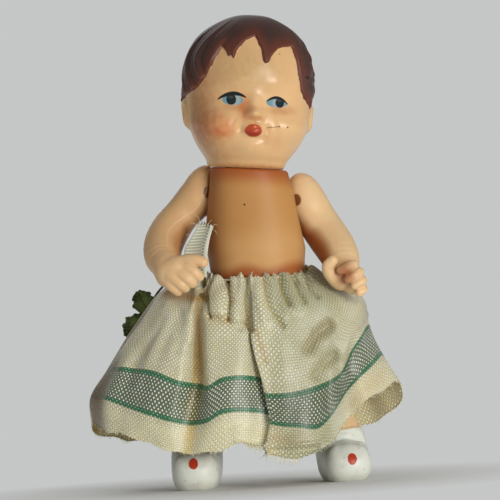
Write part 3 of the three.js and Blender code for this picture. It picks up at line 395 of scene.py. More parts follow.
class Paint:
    """A material built up coat by coat over a base colour."""

    def __init__(self, name, base, roughness):
        self.material = bpy.data.materials.new(name)
        self.material.use_nodes = True
        self.tree = self.material.node_tree
        self.shader = self.tree.nodes["Principled BSDF"]
        self.shader.inputs["Roughness"].default_value = roughness
        self.colour = base
        self.roughness = roughness

    def node(self, kind, **settings):
        made = self.tree.nodes.new(kind)
        for key, value in settings.items():
            setattr(made, key, value)
        return made

    def feed(self, socket, value):
        if isinstance(value, Tone):
            value = value.socket
        if isinstance(value, bpy.types.NodeSocket):
            self.tree.links.new(value, socket)
        else:
            socket.default_value = (*value, 1) if isinstance(value, tuple) else value

    def value(self, name):
        """The numbers that were marked on the mesh under this name."""
        return Tone(self, self.node("ShaderNodeAttribute", attribute_name=name).outputs["Fac"])

    def math(self, operation, *values):
        made = self.node("ShaderNodeMath", operation=operation)
        for socket, value in zip(made.inputs, values):
            self.feed(socket, value)
        return Tone(self, made.outputs[0])

    def step(self, value, low, high):
        """0 below low, 1 above high, and smooth between; low may be the larger."""
        made = self.node("ShaderNodeMapRange", interpolation_type="SMOOTHSTEP")
        self.feed(made.inputs["Value"], value)
        made.inputs["From Min"].default_value = low
        made.inputs["From Max"].default_value = high
        return Tone(self, made.outputs["Result"])

    def noise(self, scale, detail):
        made = self.node("ShaderNodeTexNoise")
        made.inputs["Scale"].default_value = scale
        made.inputs["Detail"].default_value = detail
        self.feed(made.inputs["Vector"], self.node("ShaderNodeTexCoord").outputs["Object"])
        return Tone(self, made.outputs["Fac"])

    def oval_mask(self, x, z, centre, half, softness, wobble=0):
        """1 inside an oval and 0 outside, with an edge of the given softness."""
        across, up = (x - centre[0]) / half[0], (z - centre[1]) / half[1]
        distance = self.math("SQRT", across * across + up * up)
        if wobble:
            distance = distance + wobble
        return self.step(distance, 1 + softness, 1 - softness)

    def mix(self, amount, first, second, **settings):
        """The first colour or number where the amount is 0, and the second where it is 1."""
        made = self.node("ShaderNodeMix", **settings)
        for name, value in (("Factor", amount), ("A", first), ("B", second)):
            self.feed(made.inputs[name], value)
        return made.outputs["Result"]

    def coat(self, mask, colour, strength=1.0):
        amount = mask if strength == 1.0 else mask * strength
        self.colour = self.mix(amount, self.colour, colour, data_type="RGBA")

    def dull(self, mask, roughness):
        """Makes the paint as rough as this where the mask is 1."""
        self.roughness = self.mix(mask, self.roughness, roughness, data_type="FLOAT")

    def finish(self, height, relief, strength):
        """The material, with a fine relief as deep as this, in metres."""
        self.feed(self.shader.inputs["Base Color"], self.colour)
        self.feed(self.shader.inputs["Roughness"], self.roughness)
        bump_node = self.node("ShaderNodeBump")
        bump_node.inputs["Distance"].default_value = relief
        bump_node.inputs["Strength"].default_value = strength
        self.feed(bump_node.inputs["Height"], height)
        self.feed(self.shader.inputs["Normal"], bump_node.outputs["Normal"])
        return self.material


def vinyl_shine(paint, waxiness):
    """Soft vinyl lets a little light in below its surface."""
    paint.shader.inputs["Subsurface Weight"].default_value = waxiness
    paint.shader.inputs["Subsurface Radius"].default_value = (1.0, 0.42, 0.2)
    paint.shader.inputs["Subsurface Scale"].default_value = 0.0018
    paint.shader.inputs["Specular IOR Level"].default_value = 0.35


HEAD_SKIN = (0.735, 0.475, 0.240)
HEAD_MOTTLE = (0.71, 0.43, 0.20)
FOREHEAD_SHADE = (0.51, 0.33, 0.15)
TEMPLE_SHADE = (0.46, 0.22, 0.09)
SIDE_SHADE = (0.32, 0.12, 0.05)
BLUSH = (0.62, 0.175, 0.045)
PAINTED_SHADE_ORANGE = (0.50, 0.20, 0.065)
HAIR_BROWN = (0.060, 0.028, 0.023)
HAIR_EDGE = (0.125, 0.034, 0.018)
LID_BLACK = (0.010, 0.013, 0.012)
EYE_WHITE = (0.33, 0.405, 0.42)
EYE_BLUE = (0.095, 0.26, 0.34)
IRIS = (0.009, 0.015, 0.017)
IRIS_PAINTED_HIGHLIGHT = (0.07, 0.08, 0.085)
LIP_RED = (0.47, 0.066, 0.018)
LIP_DARK = (0.3, 0.028, 0.01)
LIP_PAINTED_HIGHLIGHT = (0.72, 0.24, 0.13)
SCRATCH_BROWN = (0.16, 0.05, 0.02)
SPECK_BROWN = (0.07, 0.03, 0.02)
HOLE_PAINTED_SHADE = (0.012, 0.006, 0.005)
SKIN_ROUGHNESS, EYE_ROUGHNESS, HAIR_ROUGHNESS = 0.29, 0.85, 0.44

paint = Paint("painted_head_vinyl", HEAD_SKIN, SKIN_ROUGHNESS)
x, z, front = paint.value("face_x"), paint.value("face_z"), paint.value("face_front")
edge_noise = paint.noise(900, 4) - 0.5
mottle = paint.step(paint.noise(160, 2), 0.35, 0.75)
paint.coat(mottle, HEAD_MOTTLE, 0.35)
# Blush on the right cheek, and painted shade between the right eye and the nose, under the eyes and the
# nose, by the mouth, under the chin and jaw, down the face's right side and over the right temple and the
# forehead
blush_and_shade_noise = paint.step(paint.noise(700, 5), 0.3, 0.75)
BLUSH_AND_PAINTED_SHADE = (
    # centre x and z, half width and height, colour, strength
    ((-7.9, 8.2), (3.2, 2.4), BLUSH, 0.74), ((-6.7, 7.0), (2.0, 0.75), BLUSH, 0.70),
    ((-10.6, 9.5), (1.6, 3.2), BLUSH, 0.4), ((-2.2, 12.7), (1.15, 2.1), BLUSH, 0.85),
    ((-3.6, 12.5), (2.6, 0.7), PAINTED_SHADE_ORANGE, 0.45), ((5.6, 12.3), (2.6, 0.85), PAINTED_SHADE_ORANGE, 0.55),
    ((0.2, 9.9), (1.9, 0.8), PAINTED_SHADE_ORANGE, 0.55), ((-0.9, 10.6), (0.6, 0.5), PAINTED_SHADE_ORANGE, 0.5),
    ((1.2, 10.6), (0.55, 0.45), PAINTED_SHADE_ORANGE, 0.35), ((2.75, 6.3), (0.6, 1.3), PAINTED_SHADE_ORANGE, 0.38),
    ((4.5, 5.6), (1.5, 1.3), PAINTED_SHADE_ORANGE, 0.22), ((-11.5, 8.5), (2.8, 8.5), SIDE_SHADE, 0.55),
    ((0.0, 0.0), (9.5, 0.8), PAINTED_SHADE_ORANGE, 0.8), ((-11.0, 16.5), (5.0, 8.5), TEMPLE_SHADE, 0.55),
    ((-8.6, 2.8), (4.5, 3.4), PAINTED_SHADE_ORANGE, 0.42),
    ((-1.0, 20.6), (6.5, 4.0), FOREHEAD_SHADE, 0.75),
)
for centre, half, colour, strength in BLUSH_AND_PAINTED_SHADE:
    mask = paint.oval_mask(x, z, centre, half, 0.9) * front
    paint.coat(mask * (0.7 + blush_and_shade_noise * 0.5), colour, strength)

# Each eye: the white under the lid line, blue at its sides, a dark iris with a painted highlight, and the
# black lid line
EYES = (
    # iris place and radius, white's centre and halves, lid ends and rise, lid thickness
    ((-4.88, 14.10), 1.02, (-4.55, 13.98), (2.20, 1.05), (-7.75, 13.95), (-1.75, 14.60), 1.08, 0.42),
    ((5.40, 13.90), 0.96, (4.80, 13.82), (2.25, 0.98), (2.40, 13.95), (7.25, 13.60), 1.14, 0.30),
)
for iris_place, iris_radius, white_place, white_half, start, end, rise, thickness in EYES:
    along = (x - start[0]) / (end[0] - start[0])
    arch = along * (1 - along) * (4 * rise)
    lid_level = start[1] + along * (end[1] - start[1]) + arch
    below_lid = paint.step(lid_level - z, -0.05, 0.1)
    wobble = edge_noise * 0.16
    white = paint.oval_mask(x, z, white_place, white_half, 0.06, wobble) * below_lid * front
    paint.coat(white, EYE_WHITE)
    blue = paint.step(abs(x - (white_place[0] + 0.35)), 0.7, 1.9)
    paint.coat(white * blue, EYE_BLUE, 0.75)
    iris = paint.oval_mask(x, z, iris_place, (iris_radius, iris_radius * 1.08), 0.08, wobble)
    iris = iris * below_lid * front
    paint.coat(iris, IRIS)
    iris_highlight = paint.oval_mask(x, z, (iris_place[0] - 0.1, iris_place[1] + 0.45), (0.50, 0.28), 0.6)
    paint.coat(iris_highlight * iris, IRIS_PAINTED_HIGHLIGHT, 0.6)
    taper = paint.math("MAXIMUM", arch, 0.0) ** 0.45 * thickness
    inside_lid = taper + edge_noise * 0.06 - abs(z - lid_level)
    between = paint.step(along, -0.02, 0.03) * paint.step(along, 1.02, 0.97)
    lid = paint.step(inside_lid, -0.03, 0.05) * between
    paint.coat(lid * front, LID_BLACK)
    paint.dull(paint.oval_mask(x, z, white_place, (2.9, 1.7), 0.2) * front, EYE_ROUGHNESS)

# The lips are one red oval, darker along their parting, with a painted highlight at the top
lips = paint.oval_mask(x, z, (-0.1, 7.8), (1.82, 1.32), 0.1, edge_noise * 0.12) * front
paint.coat(lips, LIP_RED)
paint.coat(lips * paint.step(z, 8.0, 7.2), LIP_DARK, 0.8)
paint.coat(paint.oval_mask(x, z, (0.12, 8.62), (0.30, 0.24), 0.5), LIP_PAINTED_HIGHLIGHT, 0.75)

# A hairline scratch, two dark specks on the cheek and one on the forehead
scratch_level = 8.5 + (x - 2.68) * 0.125
scratch = paint.step(abs(z - scratch_level), 0.11, 0.03)
scratch_span = paint.step(x, 2.6, 3.0) * paint.step(x, 5.5, 5.4)
broken = paint.step(paint.noise(1500, 2), 0.34, 0.46)
paint.coat(scratch * scratch_span * broken * front, SCRATCH_BROWN)
for speck, radius in (((7.18, 8.8), 0.17), ((4.97, 24.1), 0.13), ((5.40, 8.86), 0.15)):
    paint.coat(paint.oval_mask(x, z, speck, (radius, radius), 0.3) * front, SPECK_BROWN)

# The brown hair paint is thin and reddish at its edge, and duller than the vinyl. A small
# hole through it above the left ear is painted as a black spot of painted shade.
hair_line = paint.value("hair_edge") + edge_noise * 0.5
hair = paint.step(hair_line, 0.0, 0.16)
thick = paint.step(hair_line, 0.3, 3.4)
hair_streaks = paint.step(paint.noise(260, 3), 0.35, 0.7)
hair_tone = paint.mix(thick * (hair_streaks * 0.25 + 0.75), HAIR_EDGE, HAIR_BROWN, data_type="RGBA")
paint.coat(hair, hair_tone)
paint.dull(hair, HAIR_ROUGHNESS)
hole_shade = paint.oval_mask(x, z, (11.6, 19.6), (0.55, 0.42), 0.35) * front
paint.coat(hole_shade, HOLE_PAINTED_SHADE)
vinyl_shine(paint, 0.28)
skin_grain = paint.noise(2600, 2) * 0.25
head.data.materials.append(paint.finish(skin_grain, 0.00006, 0.5))
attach(head, "head")
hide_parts("head")


# The torso is a plump hollow moulding in a darker amber vinyl. The head snaps into its
# neck, which is cut off square, and the arms are strung against round seats in its sides.
TORSO_ROWS = [
    # level, half width, front and back half depths
    (31.8, 0.6, 0.8, 0.8),
    (32.0, 3.2, 3.9, 3.9),
    (33.0, 4.6, 5.8, 5.8),
    (35.0, 5.15, 6.7, 6.7),
    (38.0, 5.2, 7.4, 7.3),
    (41.4, 5.3, 7.8, 7.9),
    (42.7, 5.9, 7.95, 8.1),
    (43.1, 9.2, 8.0, 8.15),
    (44.2, 9.8, 8.3, 8.3),
    (49.5, 10.4, 8.6, 7.9),
    (55.0, 9.9, 8.25, 7.85),
    (60.6, 9.2, 7.9, 7.8),
    (64.9, 8.55, 7.7, 7.7),
    (69.2, 8.2, 7.4, 7.4),
]
SHOULDER_ANGLE = 25 * degree
SEAT_RADIUS = 5.6
NECK_GAP = 0.1
SEAT_GAP = 0.15
ARM_DOME = 0.8
NECK_ROUNDING = 0.55
BODY_SKIN = (0.50, 0.250, 0.075)
BODY_MOTTLE = (0.54, 0.285, 0.095)
BODY_STREAK = (0.46, 0.21, 0.06)
BELLY_LIGHT = (0.63, 0.365, 0.145)
SIDE_PAINTED_SHADE = (0.30, 0.085, 0.022)
BELLY_SPECK = (0.05, 0.02, 0.01)
PAINTED_SHADE_AMBER = (0.36, 0.085, 0.015)


def torso_section(level):
    """Half width, front and back half depths of the torso at a level."""
    levels = [row[0] for row in TORSO_ROWS]
    return [np.interp(level, levels, [row[column] for row in TORSO_ROWS]) for column in (1, 2, 3)]


def shoulder_frame(side, name):
    """X points out along the arm's hinge, and the origin lies on the arm's flat inner face."""
    pivot = Vector(joints[name]["pos_m"]) / MM - stand
    turn = SHOULDER_ANGLE if side > 0 else math.pi - SHOULDER_ANGLE
    return Matrix.Translation(pivot) @ Matrix.Rotation(turn, 4, "Z")


def into(matrix, points):
    return place_in(matrix.inverted(), points)


right_shoulder = shoulder_frame(-1, "right_shoulder")
left_shoulder = shoulder_frame(1, "left_shoulder")

TORSO_COLUMNS = 200
torso_levels = np.concatenate([np.linspace(31.8, 43.1, 34), np.linspace(43.3, 69.2, 130)])
torso_angle = np.linspace(-math.pi, math.pi, TORSO_COLUMNS, endpoint=False)
rings = []
for level in torso_levels:
    half_width, front_depth, back_depth = torso_section(level)
    ring_x, ring_y = oval(torso_angle, half_width, front_depth, back_depth, 2.2)
    rings.append(np.stack([TORSO_X + ring_x, ring_y, np.full_like(ring_x, level)], -1))
torso_points = np.array(rings)
torso_z = torso_points[:, :, 2]
belly = 0.35 * bump(torso_points[:, :, 0] - TORSO_X, 5.5) * bump(torso_z - 48.5, 4.5)
torso_points[:, :, 1] -= np.where(torso_points[:, :, 1] < 0, belly, 0)
torso_points[:, :, 0] += 0.45 * smoothstep(56, 48, torso_z) * smoothstep(42.5, 43.5, torso_z)
torso_points[:, :, 0] -= 0.55 * smoothstep(61, 67, torso_z) * smoothstep(0, 6, torso_points[:, :, 0])

# The neck is cut square to the head, with a rounded rim and a wall that turns down inside
neck_local = into(neck_frame, torso_points.reshape(-1, 3)).reshape(torso_points.shape)
past = np.maximum(neck_local[:, :, 2] + NECK_GAP + NECK_ROUNDING, 0)
bend = np.minimum(past / NECK_ROUNDING, math.pi / 2)
flat = past - bend * NECK_ROUNDING
reach = np.hypot(neck_local[:, :, 0], neck_local[:, :, 1])
drawn_in = np.clip(1 - (NECK_ROUNDING * (1 - np.cos(bend)) + flat) / reach, 0.62, 1)
rim_level = -NECK_GAP - NECK_ROUNDING * (1 - np.sin(bend))
neck_local[:, :, :2] *= drawn_in[:, :, None]
neck_local[:, :, 2] = np.where(past > 0, rim_level, neck_local[:, :, 2])
torso_points = place_in(neck_frame, neck_local.reshape(-1, 3)).reshape(torso_points.shape)

# The arms' flat inner faces lie in round seats
for frame_here in (right_shoulder, left_shoulder):
    local = into(frame_here, torso_points.reshape(-1, 3))
    off_axis = np.hypot(local[:, 1], local[:, 2])
    groove = ARM_DOME * smoothstep(1.6, 2.6, off_axis)
    seat = (-SEAT_GAP - groove
            + (groove + 0.35) * smoothstep(SEAT_RADIUS - 0.25, SEAT_RADIUS + 0.45, off_axis))
    seated = np.minimum(local[:, 0], np.where(off_axis < SEAT_RADIUS + 0.45, seat, 1e3))
    local[:, 0] = np.where(local[:, 0] > -4, seated, local[:, 0])
    torso_points = place_in(frame_here, local).reshape(torso_points.shape)

torso = make_mesh("doll_torso", torso_points.reshape(-1, 3),
                  grid_faces(TORSO_COLUMNS, len(torso_levels), True))
mark(torso, "level", torso_points[:, :, 2])
mark(torso, "across", torso_points[:, :, 0])
mark(torso, "under_neck", neck_local[:, :, 2])
mark(torso, "forward", -torso_points[:, :, 1])

paint = Paint("body_vinyl", BODY_SKIN, 0.5)
level, across = paint.value("level"), paint.value("across")
mottle = paint.step(paint.noise(110, 3), 0.3, 0.75)
paint.coat(mottle, BODY_MOTTLE, 0.5)
paint.coat(paint.step(level, 56.0, 50.0), BELLY_LIGHT, 0.6)
streak = paint.step(paint.noise(60, 2), 0.45, 0.8)
paint.coat(streak, BODY_STREAK, 0.4)
# Painted shade under the head's rim and down the doll's right side, and a painted shadow with a wavy edge
# across the waist, as cast by the skirt's ruffle
paint.coat(paint.step(paint.value("under_neck"), -4.6, -0.6), PAINTED_SHADE_AMBER, 0.9)
paint.coat(paint.step(across, -4.0, -10.0), SIDE_PAINTED_SHADE, 0.6)
waist_shadow_edge = level + paint.math("SINE", across * 0.62) * 0.55
paint.coat(paint.step(waist_shadow_edge, 47.2, 44.6), PAINTED_SHADE_AMBER, 0.85)
body_speck = paint.oval_mask(across, level, (-2.0, 59.2), (0.19, 0.24), 0.4)
paint.coat(body_speck * paint.step(paint.value("forward"), -1, 1), BELLY_SPECK)
vinyl_shine(paint, 0.3)
paint.shader.inputs["Specular IOR Level"].default_value = 0.3
torso.data.materials.append(paint.finish(paint.noise(2600, 2) * 0.25, 0.00006, 0.5))
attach(torso, "torso")
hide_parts("torso")

# Each arm is a bent, plump moulding with a curled hand, strung flat against the
# torso's side. A fine mould seam runs down its front.
RIGHT_ARM = {
    "limb": [
        (-9.9, 3.2, 66.6, 1.5), (-10.4, 3.1, 64.4, 3.3), (-11.9, 3.0, 61.4, 4.1),
        (-15.3, 2.7, 58.0, 3.75), (-17.9, 1.4, 54.9, 4.1), (-19.5, -1.0, 51.9, 4.15),
        (-19.9, -4.4, 49.3, 3.8), (-19.3, -7.8, 47.4, 3.0), (-18.6, -9.6, 46.4, 2.6),
    ],
    "palm": [
        (-18.8, -8.8, 47.2, 2.4), (-18.9, -9.9, 45.5, 2.5), (-16.9, -10.8, 46.7, 2.4),
        (-17.6, -10.7, 45.2, 2.5),
    ],
    "finger_melt": 0.26,
    "digits": [
        [
            (-17.0, -9.9, 47.9, 1.1), (-15.0, -11.0, 48.3, 1.2), (-12.9, -11.6, 48.1, 1.25),
            (-11.4, -11.8, 47.6, 1.15),
        ],
        [
            (-16.2, -10.9, 47.2, 1.1), (-14.9, -12.1, 46.8, 1.2), (-13.3, -12.6, 45.6, 1.2),
            (-12.4, -12.0, 44.7, 1.12),
        ],
        [
            (-17.6, -11.0, 46.1, 1.1), (-16.2, -12.4, 45.5, 1.2), (-14.7, -12.8, 44.3, 1.2),
            (-13.9, -12.1, 43.4, 1.10),
        ],
        [
            (-18.9, -10.8, 45.1, 1.05), (-17.7, -12.1, 44.4, 1.15), (-16.2, -12.5, 43.2, 1.15),
            (-15.4, -11.8, 42.5, 1.05),
        ],
        [
            (-19.9, -10.3, 44.2, 1.05), (-18.9, -11.5, 43.6, 1.1), (-17.7, -11.8, 42.5, 1.1),
            (-17.0, -11.2, 41.8, 1.0),
        ],
    ],
}
LEFT_ARM = {
    "limb": [
        (9.9, 3.2, 63.8, 1.5), (10.4, 3.1, 61.6, 3.5), (11.2, 3.0, 58.9, 4.3),
        (12.9, 2.7, 55.4, 4.3), (14.7, 1.6, 52.3, 4.35), (16.4, -1.0, 49.4, 4.3),
        (17.6, -4.2, 46.8, 3.9), (18.1, -7.2, 44.4, 3.1), (18.2, -8.6, 43.2, 2.6),
    ],
    "finger_melt": 0.12,
    "palm": [
        (16.0, -9.0, 43.4, 1.9), (17.2, -8.8, 42.2, 2.1), (19.2, -8.8, 43.6, 2.1),
        (19.8, -8.6, 41.2, 2.1),
    ],
    "digits": [
        [
            (16.0, -9.3, 42.4, 1.3), (15.0, -10.6, 43.6, 1.3), (14.7, -11.5, 45.2, 1.3),
            (15.7, -11.9, 46.3, 1.15),
        ],
        [
            (20.2, -9.2, 44.9, 1.0), (20.0, -10.9, 45.2, 1.05), (18.9, -12.0, 44.8, 1.05),
            (17.4, -12.1, 44.2, 0.98),
        ],
        [
            (21.0, -9.2, 43.5, 1.0), (21.2, -10.9, 43.6, 1.05), (20.2, -12.1, 43.1, 1.02),
            (18.7, -12.2, 42.4, 0.95),
        ],
        [
            (21.4, -9.0, 41.9, 1.0), (21.8, -10.6, 41.9, 1.0), (21.2, -11.8, 41.5, 0.98),
            (20.0, -12.0, 40.9, 0.90),
        ],
        [
            (21.3, -8.6, 40.4, 0.95), (21.8, -10.0, 40.2, 0.93), (21.7, -11.1, 39.8, 0.9),
            (20.9, -11.5, 39.3, 0.84),
        ],
    ],
}
ARM_MESH_STEP = 0.24
BALL_COLUMNS, BALL_ROWS = 10, 7
LIMB_SKIN = (0.77, 0.53, 0.285)
LIMB_MOTTLE = (0.80, 0.59, 0.35)
LIMB_BROWN_PAINTED_SHADE = (0.58, 0.33, 0.14)
SEAM_PAINTED_HIGHLIGHT = (0.80, 0.60, 0.38)
LIMB_AMBER_PAINTED_SHADE = (0.30, 0.070, 0.012)
SLOT_PAINTED_SHADE = (0.20, 0.050, 0.010)
ARM_SHADE_PLACES = (((18.2, 43.4), (1.9, 2.4)), ((-10.4, 55.6), (2.2, 2.8)))
SLOT_SHADE_PLACES = ((-9.55, 62.3), (9.05, 59.6))


def smooth_path(stations, steps):
    """Stations along a smooth curve through the ones given."""
    return smooth_rows(stations, np.linspace(0, 1, steps)).T


def tube_distance(points, stations):
    """Distance from points to the skin of a round tube with a changing radius."""
    nearest = np.full(len(points), 1e3)
    for start, end in zip(stations[:-1], stations[1:]):
        along = end[:3] - start[:3]
        place = np.clip((points - start[:3]) @ along / (along @ along), 0, 1)
        gap = np.linalg.norm(points - start[:3] - place[:, None] * along, axis=1)
        nearest = np.minimum(nearest, gap - start[3] - (end[3] - start[3]) * place)
    return nearest


def melt(first, second, width):
    """Joins two distances with a soft fillet."""
    share = np.clip(0.5 + 0.5 * (second - first) / width, 0, 1)
    return second + (first - second) * share - width * share * (1 - share)


def body_from(distance, centres, mesh_step):
    """A mesh of the skin where a distance is zero, from balls that roughly fill it."""
    rough = bpy.data.meshes.new("rough")
    points, faces = [], []
    ball_faces = grid_faces(BALL_COLUMNS, BALL_ROWS, True)
    turn, rise = np.meshgrid(np.linspace(0, 2 * math.pi, BALL_COLUMNS, endpoint=False),
                             np.linspace(-1.45, 1.45, BALL_ROWS))
    ball = np.stack([np.cos(turn) * np.cos(rise), np.sin(turn) * np.cos(rise), np.sin(rise)], -1)
    ball = ball.reshape(-1, 3)
    for centre in centres:
        faces.extend((ball_faces + len(points)).tolist())
        top = len(points) + BALL_COLUMNS * (BALL_ROWS - 1)
        faces.append([len(points) + index for index in reversed(range(BALL_COLUMNS))])
        faces.append([top + index for index in range(BALL_COLUMNS)])
        points.extend((centre[:3] + ball * centre[3]).tolist())
    rough.from_pydata(points, [], faces)
    holder = bpy.data.objects.new("rough", rough)
    bpy.context.scene.collection.objects.link(holder)
    remesh = holder.modifiers.new("remesh", "REMESH")
    remesh.mode = "VOXEL"
    remesh.voxel_size = mesh_step
    evaluated = holder.evaluated_get(bpy.context.evaluated_depsgraph_get())
    made = bpy.data.meshes.new_from_object(evaluated)
    skin = np.empty(len(made.vertices) * 3)
    made.vertices.foreach_get("co", skin)
    skin = skin.reshape(-1, 3)
    skin_faces = [tuple(face.vertices) for face in made.polygons]
    bpy.data.objects.remove(holder)
    # The rough skin is drawn to the exact one, a little at a time
    probe = 0.02
    for _ in range(6):
        gap = distance(skin)
        slope = np.stack([distance(skin + step) - gap for step in np.eye(3) * probe], -1) / probe
        slope /= np.maximum(np.linalg.norm(slope, axis=1, keepdims=True), 0.3)
        skin = skin - slope * np.clip(gap, -0.4, 0.4)[:, None]
    return skin, skin_faces


def make_arm(name, arm, side, frame_here, body):
    limb = smooth_path(arm["limb"], 26)
    palm = np.array(arm["palm"], float)
    digits = [smooth_path(digit, 9) for digit in arm["digits"]]

    def distance(points):
        whole = melt(tube_distance(points, limb), tube_distance(points, palm), 1.6)
        fingers = None
        for digit in digits:
            this = tube_distance(points, digit)
            fingers = this if fingers is None else melt(fingers, this, arm["finger_melt"])
        return melt(whole, fingers, 0.6)

    centres = np.concatenate([limb, smooth_path(arm["palm"], 8), *digits])
    points, faces = body_from(distance, centres, ARM_MESH_STEP)
    # The inner face is a flat disc with a low ring round it, which runs in the torso's seat
    local = into(frame_here, points)
    off_axis = np.hypot(local[:, 1], local[:, 2])
    ring = (-ARM_DOME * smoothstep(1.8, 2.8, off_axis)
            * smoothstep(SEAT_RADIUS - 0.1, SEAT_RADIUS - 0.7, off_axis))
    local[:, 0] = np.where(off_axis < 14, np.maximum(local[:, 0], ring), local[:, 0])
    points = place_in(frame_here, local)
    half_width, front_depth, back_depth = torso_section(points[:, 2])
    depth = np.where(points[:, 1] < 0, front_depth, back_depth) + SEAT_GAP
    inside = (np.abs((points[:, 0] - TORSO_X) / (half_width + SEAT_GAP)) ** 2.2
              + np.abs(points[:, 1] / depth) ** 2.2) ** (1 / 2.2)
    push = np.where((inside < 1) & (off_axis > SEAT_RADIUS - 0.1), 1 / np.maximum(inside, 0.5), 1)
    points[:, 0] = TORSO_X + (points[:, 0] - TORSO_X) * push
    points[:, 1] = points[:, 1] * push
    piece = make_mesh(name, points, faces)
    # Places across the limb from its centre line, out from the body
    fine = smooth_path(arm["limb"], 240)[:, :3]
    near = np.concatenate([np.linalg.norm(block[:, None, :] - fine[None], axis=2).argmin(axis=1)
                           for block in np.array_split(points, 12)])
    mark(piece, "outward", (points[:, 0] - fine[near, 0]) * side)
    mark(piece, "along", near / 240)
    mark(piece, "arm_x", points[:, 0])
    mark(piece, "arm_z", points[:, 2])
    mark(piece, "forward", -points[:, 1])
    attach(piece, body)
    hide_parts(name.replace("doll_", ""))
    return piece


def limb_paint(name, roughness):
    """The limbs' vinyl, with a faint paler mottle."""
    paint = Paint(name, LIMB_SKIN, roughness)
    paint.coat(paint.step(paint.noise(170, 3), 0.3, 0.75), LIMB_MOTTLE, 0.5)
    return paint


paint = limb_paint("limb_vinyl", 0.42)
outward, along, forward = paint.value("outward"), paint.value("along"), paint.value("forward")
arm_x, arm_z = paint.value("arm_x"), paint.value("arm_z")
# The hidden inner side of the upper arm and the hollow of the hand get a deeper amber painted shade
upper_arm = paint.step(along, 0.22, 0.42) * paint.step(along, 0.98, 0.8)
paint.coat(paint.step(outward, -1.2, -3.6) * upper_arm, LIMB_AMBER_PAINTED_SHADE, 0.95)
for centre, half in ARM_SHADE_PLACES:
    paint.coat(paint.oval_mask(arm_x, arm_z, centre, half, 0.7), LIMB_AMBER_PAINTED_SHADE, 0.8)
# The right arm is darkened with a brown painted shade, less toward its hand
right_only = paint.step(arm_x, -2, -3)
paint.coat(right_only * paint.step(forward, 20, 3), LIMB_BROWN_PAINTED_SHADE, 0.6)
# A dark half-round slot at the seat of each arm is painted on as shade
for centre in SLOT_SHADE_PLACES:
    slot = paint.oval_mask(arm_x, arm_z, centre, (0.95, 1.25), 0.15)
    paint.coat(slot * paint.step(forward, -3.2, -2.4), SLOT_PAINTED_SHADE, 0.95)
# The right arm shows its mould seam down the front, as a fine ridge with a painted highlight along it
seam_line = paint.step(abs(outward + 1.1), 0.22, 0.02) * (paint.step(forward, -1.5, 0.5) * right_only)
seam_line = seam_line * paint.step(along, 0.85, 0.7)
paint.coat(seam_line, SEAM_PAINTED_HIGHLIGHT, 0.45)
vinyl_shine(paint, 0.35)
limb_vinyl = paint.finish(paint.noise(2600, 2) * 0.25 + seam_line * 0.8, 0.00010, 0.6)

right_arm = make_arm("doll_right_arm", RIGHT_ARM, -1, right_shoulder, "right_arm")
left_arm = make_arm("doll_left_arm", LEFT_ARM, 1, left_shoulder, "left_arm")
for arm_piece in (right_arm, left_arm):
    arm_piece.data.materials.append(limb_vinyl)

# Each leg is one vinyl moulding with its ankle boot, painted off-white down from the boot's
# edge, with a red dot on the instep. The sole is flat on the floor.
LEG_MESH_STEP = 0.3
BOOT_TOP = 10.4
SOLE_HALF_WIDTH = 4.6
TOE_REACH = 12.4
HEEL_REACH = 4.6
THIGH_RADIUS = 4.5
HIP_LEVEL = 38
HIP_INSET = 5.9
BOOT_WHITE = (0.72, 0.75, 0.68)
BOOT_DIRT = (0.40, 0.40, 0.31)
BOOT_SCUFF = (0.16, 0.15, 0.10)
DOT_RED = (0.47, 0.045, 0.018)
TOE_BALL, HEEL_BALL = -7.6, 1.2
FOOT_ROWS = [
    # y, share of the half width, height
    (HEEL_BALL, 0.78, 8.4),
    (-1.5, 0.80, 9.6),
    (-4.5, 0.90, 9.4),
    (TOE_BALL, 1.0, 8.0),
]
FOOT_FILLING = ((1.0, 8.0), (-1.5, 8.4), (-4.5, 7.9), (-7.4, 6.9), (-9.0, 5.6))


